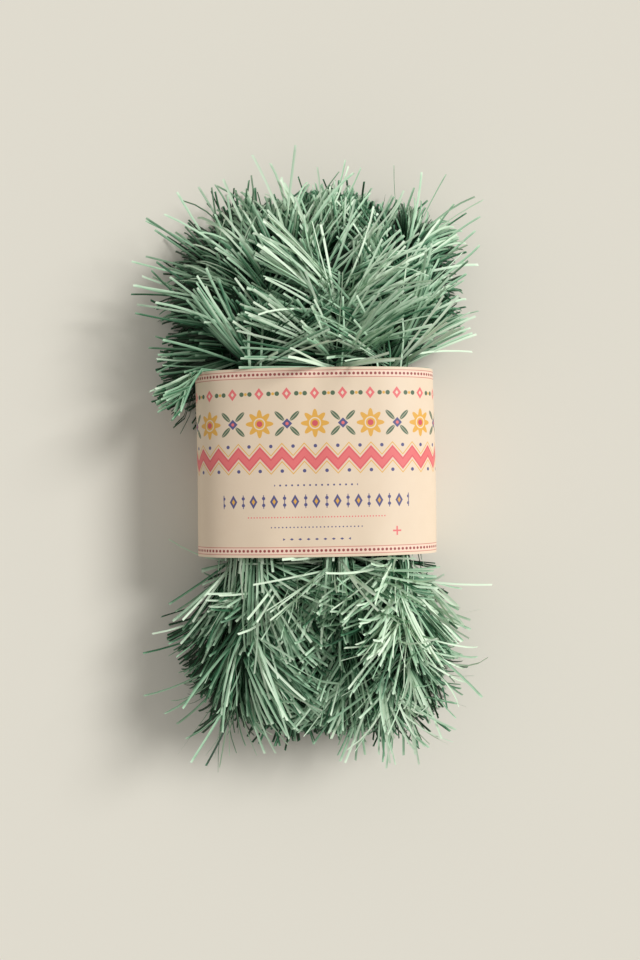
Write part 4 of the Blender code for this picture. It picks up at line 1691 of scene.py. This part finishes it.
@dataclass
class BellyBand:
    """The printed paper strip round the hank, with its overlap on the back.

    The steps are those of the lifted end, of the ramp behind it and of the end below.
    The fringe pushes the paper out in soft, shallow bumps: each of the three kinds has
    its count round the band, its phase and its slant, and the last is by the edges.
    """

    route: HankRoute
    overlap: float = 14 * MM
    seam_step: float = 12 * MM
    seam_lift: float = 0.7 * MM
    steps: tuple[int, int, int] = (4, 6, 9)
    back_press: float = 2 * MM
    thickness: float = 0.34 * MM
    front_exponent: float = 2.5
    back_exponent: float = 3.0
    stations: int = 288
    rows: int = 20
    crease: float = math.radians(50)
    map_margin: float = 0.0005
    swell: float = 0.32 * MM
    swell_from: float = 4 * MM
    swell_over: float = 10 * MM
    bumps: tuple[tuple[int, float, float], ...] = ((5, 1.3, 0.0), (9, 2.0, 1.7), (13, 4.0, 0.0))
    bump_rows: tuple[float, float] = (2.1, 0.4)
    edge_bumps: float = 0.8

    def _outline(self, turn: float) -> tuple[float, float]:
        """A point of the band's outline.

        Args:
            turn: The turn round the hank's middle, in radians.

        Returns:
            Where the point is across and up.
        """
        across, up = math.cos(turn), math.sin(turn)
        front = up >= 0
        wide = self.route.half_width + self.route.wall
        deep = self.route.half_depth + self.route.wall + (0.0 if front else self.back_press)
        power = self.front_exponent if front else self.back_exponent
        reach = ((abs(across) / wide) ** power + (abs(up) / deep) ** power) ** (-1 / power)
        return across * reach, max(self.route.middle_z + up * reach, 0.0)

    def _strip(self) -> np.ndarray:
        """Follows the strip round the hank, from inside its overlap to its outer end.

        Returns:
            The line's points, across and up.
        """
        half = self.overlap / 2
        edge = half + self.seam_step
        lifted, ramped, laid = (shares(steps) for steps in self.steps)
        turns = [-math.pi / 2 - 2 * math.pi * share for share in shares(self.stations)[1:-1]]
        ring = [self._outline(turn) for turn in turns]
        kept = [(x, z) for x, z in ring if z > 0 or abs(x) > edge]
        lift = [(lerp(half, -half, share), self.seam_lift) for share in lifted]
        ramp = [(lerp(-half, -edge, share), self.seam_lift * (1 - share)) for share in ramped[1:]]
        end = [(lerp(edge, -half, share), 0.0) for share in laid]
        return np.array(lift + ramp + kept + end)

    def build(self) -> None:
        """Makes the strip's mesh, prints it and puts it on the band's body."""
        line = self._strip()
        walked = walked_along(line)
        upper = line[:, 1] > self.route.middle_z
        middle = np.interp(0.0, line[upper, 0], walked[upper])
        girth = 2 * max(middle, walked[-1] - middle) / MM
        ways = unit(np.gradient(line, axis=0))
        out = np.stack([-ways[:, 1], ways[:, 0]], axis=1)
        heights = np.linspace(-1.0, 1.0, self.rows + 1)
        outer = line[:, None] + out[:, None] * self._swell(line, heights)[..., None]
        inner = outer - out[:, None] * self.thickness
        y = np.broadcast_to(heights * self.route.half_height, outer.shape[:2])
        u = 0.5 + (walked - middle) / MM / girth
        v = (heights + 1) / 4 * (1 - 4 * self.map_margin) + self.map_margin
        points, uvs = [], []
        for side, lift in ((outer, 0.0), (inner, 0.5)):
            points.append(np.stack([side[..., 0], y, side[..., 1]], axis=-1).reshape(-1, 3))
            uvs.append(np.stack(np.broadcast_arrays(u[:, None], v[None] + lift), axis=-1).reshape(-1, 2))
        faces = self._faces(len(line), self.rows + 1)
        mesh = quad_mesh("belly_band_printed", np.concatenate(points), faces, np.concatenate(uvs))
        mesh.set_sharp_from_angle(angle=self.crease)
        paper = PrintedPaper(girth=girth, height=2 * self.route.half_height / MM).make()
        piece = add_piece("belly_band_printed", mesh, paper)
        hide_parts("belly_band")
        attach(piece, "band")
        dress("seam_tape", TapeFilm().make())
        LOG.info("%s: girth %.0f mm", piece.name, girth)

    def _swell(self, line: np.ndarray, heights: np.ndarray) -> np.ndarray:
        """How far the fringe pushes the paper out.

        Args:
            line: The strip's line.
            heights: How far up the band each row is, from -1 to 1.

        Returns:
            The distance for each point of the line and each row.
        """
        turn = np.arctan2(line[:, 1] - self.route.middle_z, line[:, 0])[:, None]
        broad, slanted, edge = (
            np.sin(count * turn + phase + slant * heights) for count, phase, slant in self.bumps
        )
        wave = broad * np.cos(self.bump_rows[0] * heights + self.bump_rows[1]) + slanted
        wave = wave + self.edge_bumps * edge * np.abs(heights) ** 3
        lifted = np.clip((line[:, 1] - self.swell_from) / self.swell_over, 0.0, 1.0)[:, None]
        return wave * self.swell / 2 * lifted

    @staticmethod
    def _faces(count: int, width: int) -> np.ndarray:
        """The faces of the paper's two sides and of its four narrow edges.

        Args:
            count: How many points the strip's line has.
            width: How many points lie across it.

        Returns:
            Four vertices for each face.
        """
        outer = np.arange(count * width).reshape(count, width)
        inner = outer + count * width
        sides = (outer[:-1, :-1], outer[:-1, 1:], outer[1:, 1:], outer[1:, :-1])
        top = np.stack([side.ravel() for side in sides], axis=-1)
        faces = [top, top[:, ::-1] + count * width]
        rims = (
            (np.s_[1:, 0], np.s_[:-1, 0]),
            (np.s_[:-1, -1], np.s_[1:, -1]),
            (np.s_[0, :-1], np.s_[0, 1:]),
            (np.s_[-1, 1:], np.s_[-1, :-1]),
        )
        for near, far in rims:
            faces.append(np.stack([outer[near], outer[far], inner[far], inner[near]], axis=-1))
        return np.concatenate(faces)


@dataclass
class Studio:
    """The floor, the lamps and the camera, straight above the band."""

    camera_height: float = 0.665
    camera_across: float = 2 * MM
    camera_along: float = -9 * MM
    camera_roll: float = math.radians(-1.0)
    focal_length: float = 45.0
    sensor: float = 36.0
    clip_start: float = 0.01
    key_from: tuple[float, float, float] = (0.83, 0.38, 0.75)
    key_strength: float = 2.66
    key_angle: float = math.radians(18)
    sky: float = 0.44
    sky_tint: Colour = (1.0, 0.985, 0.96, 1.0)
    backdrop: Colour = FloorPaint.colour
    floor_size: float = 12.0

    def build(self) -> None:
        """Makes all of the studio."""
        self._place_camera()
        self._lay_floor()
        self._light()
        bpy.context.scene.view_settings.view_transform = "Standard"
        LOG.info("studio: built")

    def _place_camera(self) -> None:
        """Points the camera straight down, turned a little as the photographer held it."""
        lens = bpy.data.cameras.new("camera")
        lens.lens = self.focal_length
        lens.sensor_width = self.sensor
        lens.clip_start = self.clip_start
        camera = bpy.data.objects.new("camera", lens)
        camera.location = (self.camera_across, self.camera_along, self.camera_height)
        camera.rotation_euler = (0.0, 0.0, self.camera_roll)
        bpy.context.scene.collection.objects.link(camera)
        bpy.context.scene.camera = camera

    def _lay_floor(self) -> None:
        """Lays the floor just under the hank."""
        half = self.floor_size / 2
        points = np.array([(-half, -half, 0), (half, -half, 0), (half, half, 0), (-half, half, 0)])
        mesh = quad_mesh("floor", points, np.array([[0, 1, 2, 3]]), points[:, :2] / self.floor_size + 0.5)
        add_piece("floor", mesh, FloorPaint().make())

    def _light(self) -> None:
        """Lights the hank softly from the upper right, and evenly from all round."""
        lamp = bpy.data.lights.new("key", "SUN")
        lamp.energy = self.key_strength
        lamp.angle = self.key_angle
        key = bpy.data.objects.new("key", lamp)
        key.rotation_euler = Vector(self.key_from).to_track_quat("Z", "Y").to_euler()
        bpy.context.scene.collection.objects.link(key)
        world = bpy.data.worlds.new("studio_sky")
        world.use_nodes = True
        nodes = Nodes(world.node_tree)
        rays = nodes.add("ShaderNodeLightPath", {}, {})
        seen = Value(nodes, rays.outputs["Is Camera Ray"]) | Value(nodes, rays.outputs["Is Glossy Ray"])
        seen = seen | Value(nodes, rays.outputs["Is Transmission Ray"])
        light = nodes.add("ShaderNodeBackground", {}, {"Color": self.sky_tint, "Strength": self.sky})
        wall = nodes.add("ShaderNodeBackground", {}, {"Color": self.backdrop, "Strength": 1.0})
        both = nodes.add("ShaderNodeMixShader", {}, {0: seen, 1: light.outputs[0], 2: wall.outputs[0]})
        nodes.add("ShaderNodeOutputWorld", {}, {"Surface": both.outputs[0]})
        bpy.context.scene.world = world


def main() -> None:
    """Builds the garland and its studio in order."""
    logging.basicConfig(level=logging.INFO, format="%(name)s: %(message)s")
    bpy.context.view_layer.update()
    Studio().build()
    route = HankRoute()
    CoreCord(route, CordTwist().make()).build()
    BellyBand(route).build()
    Fringe(route, StrandPaper().make()).build()


if __name__ == "__main__":
    main()
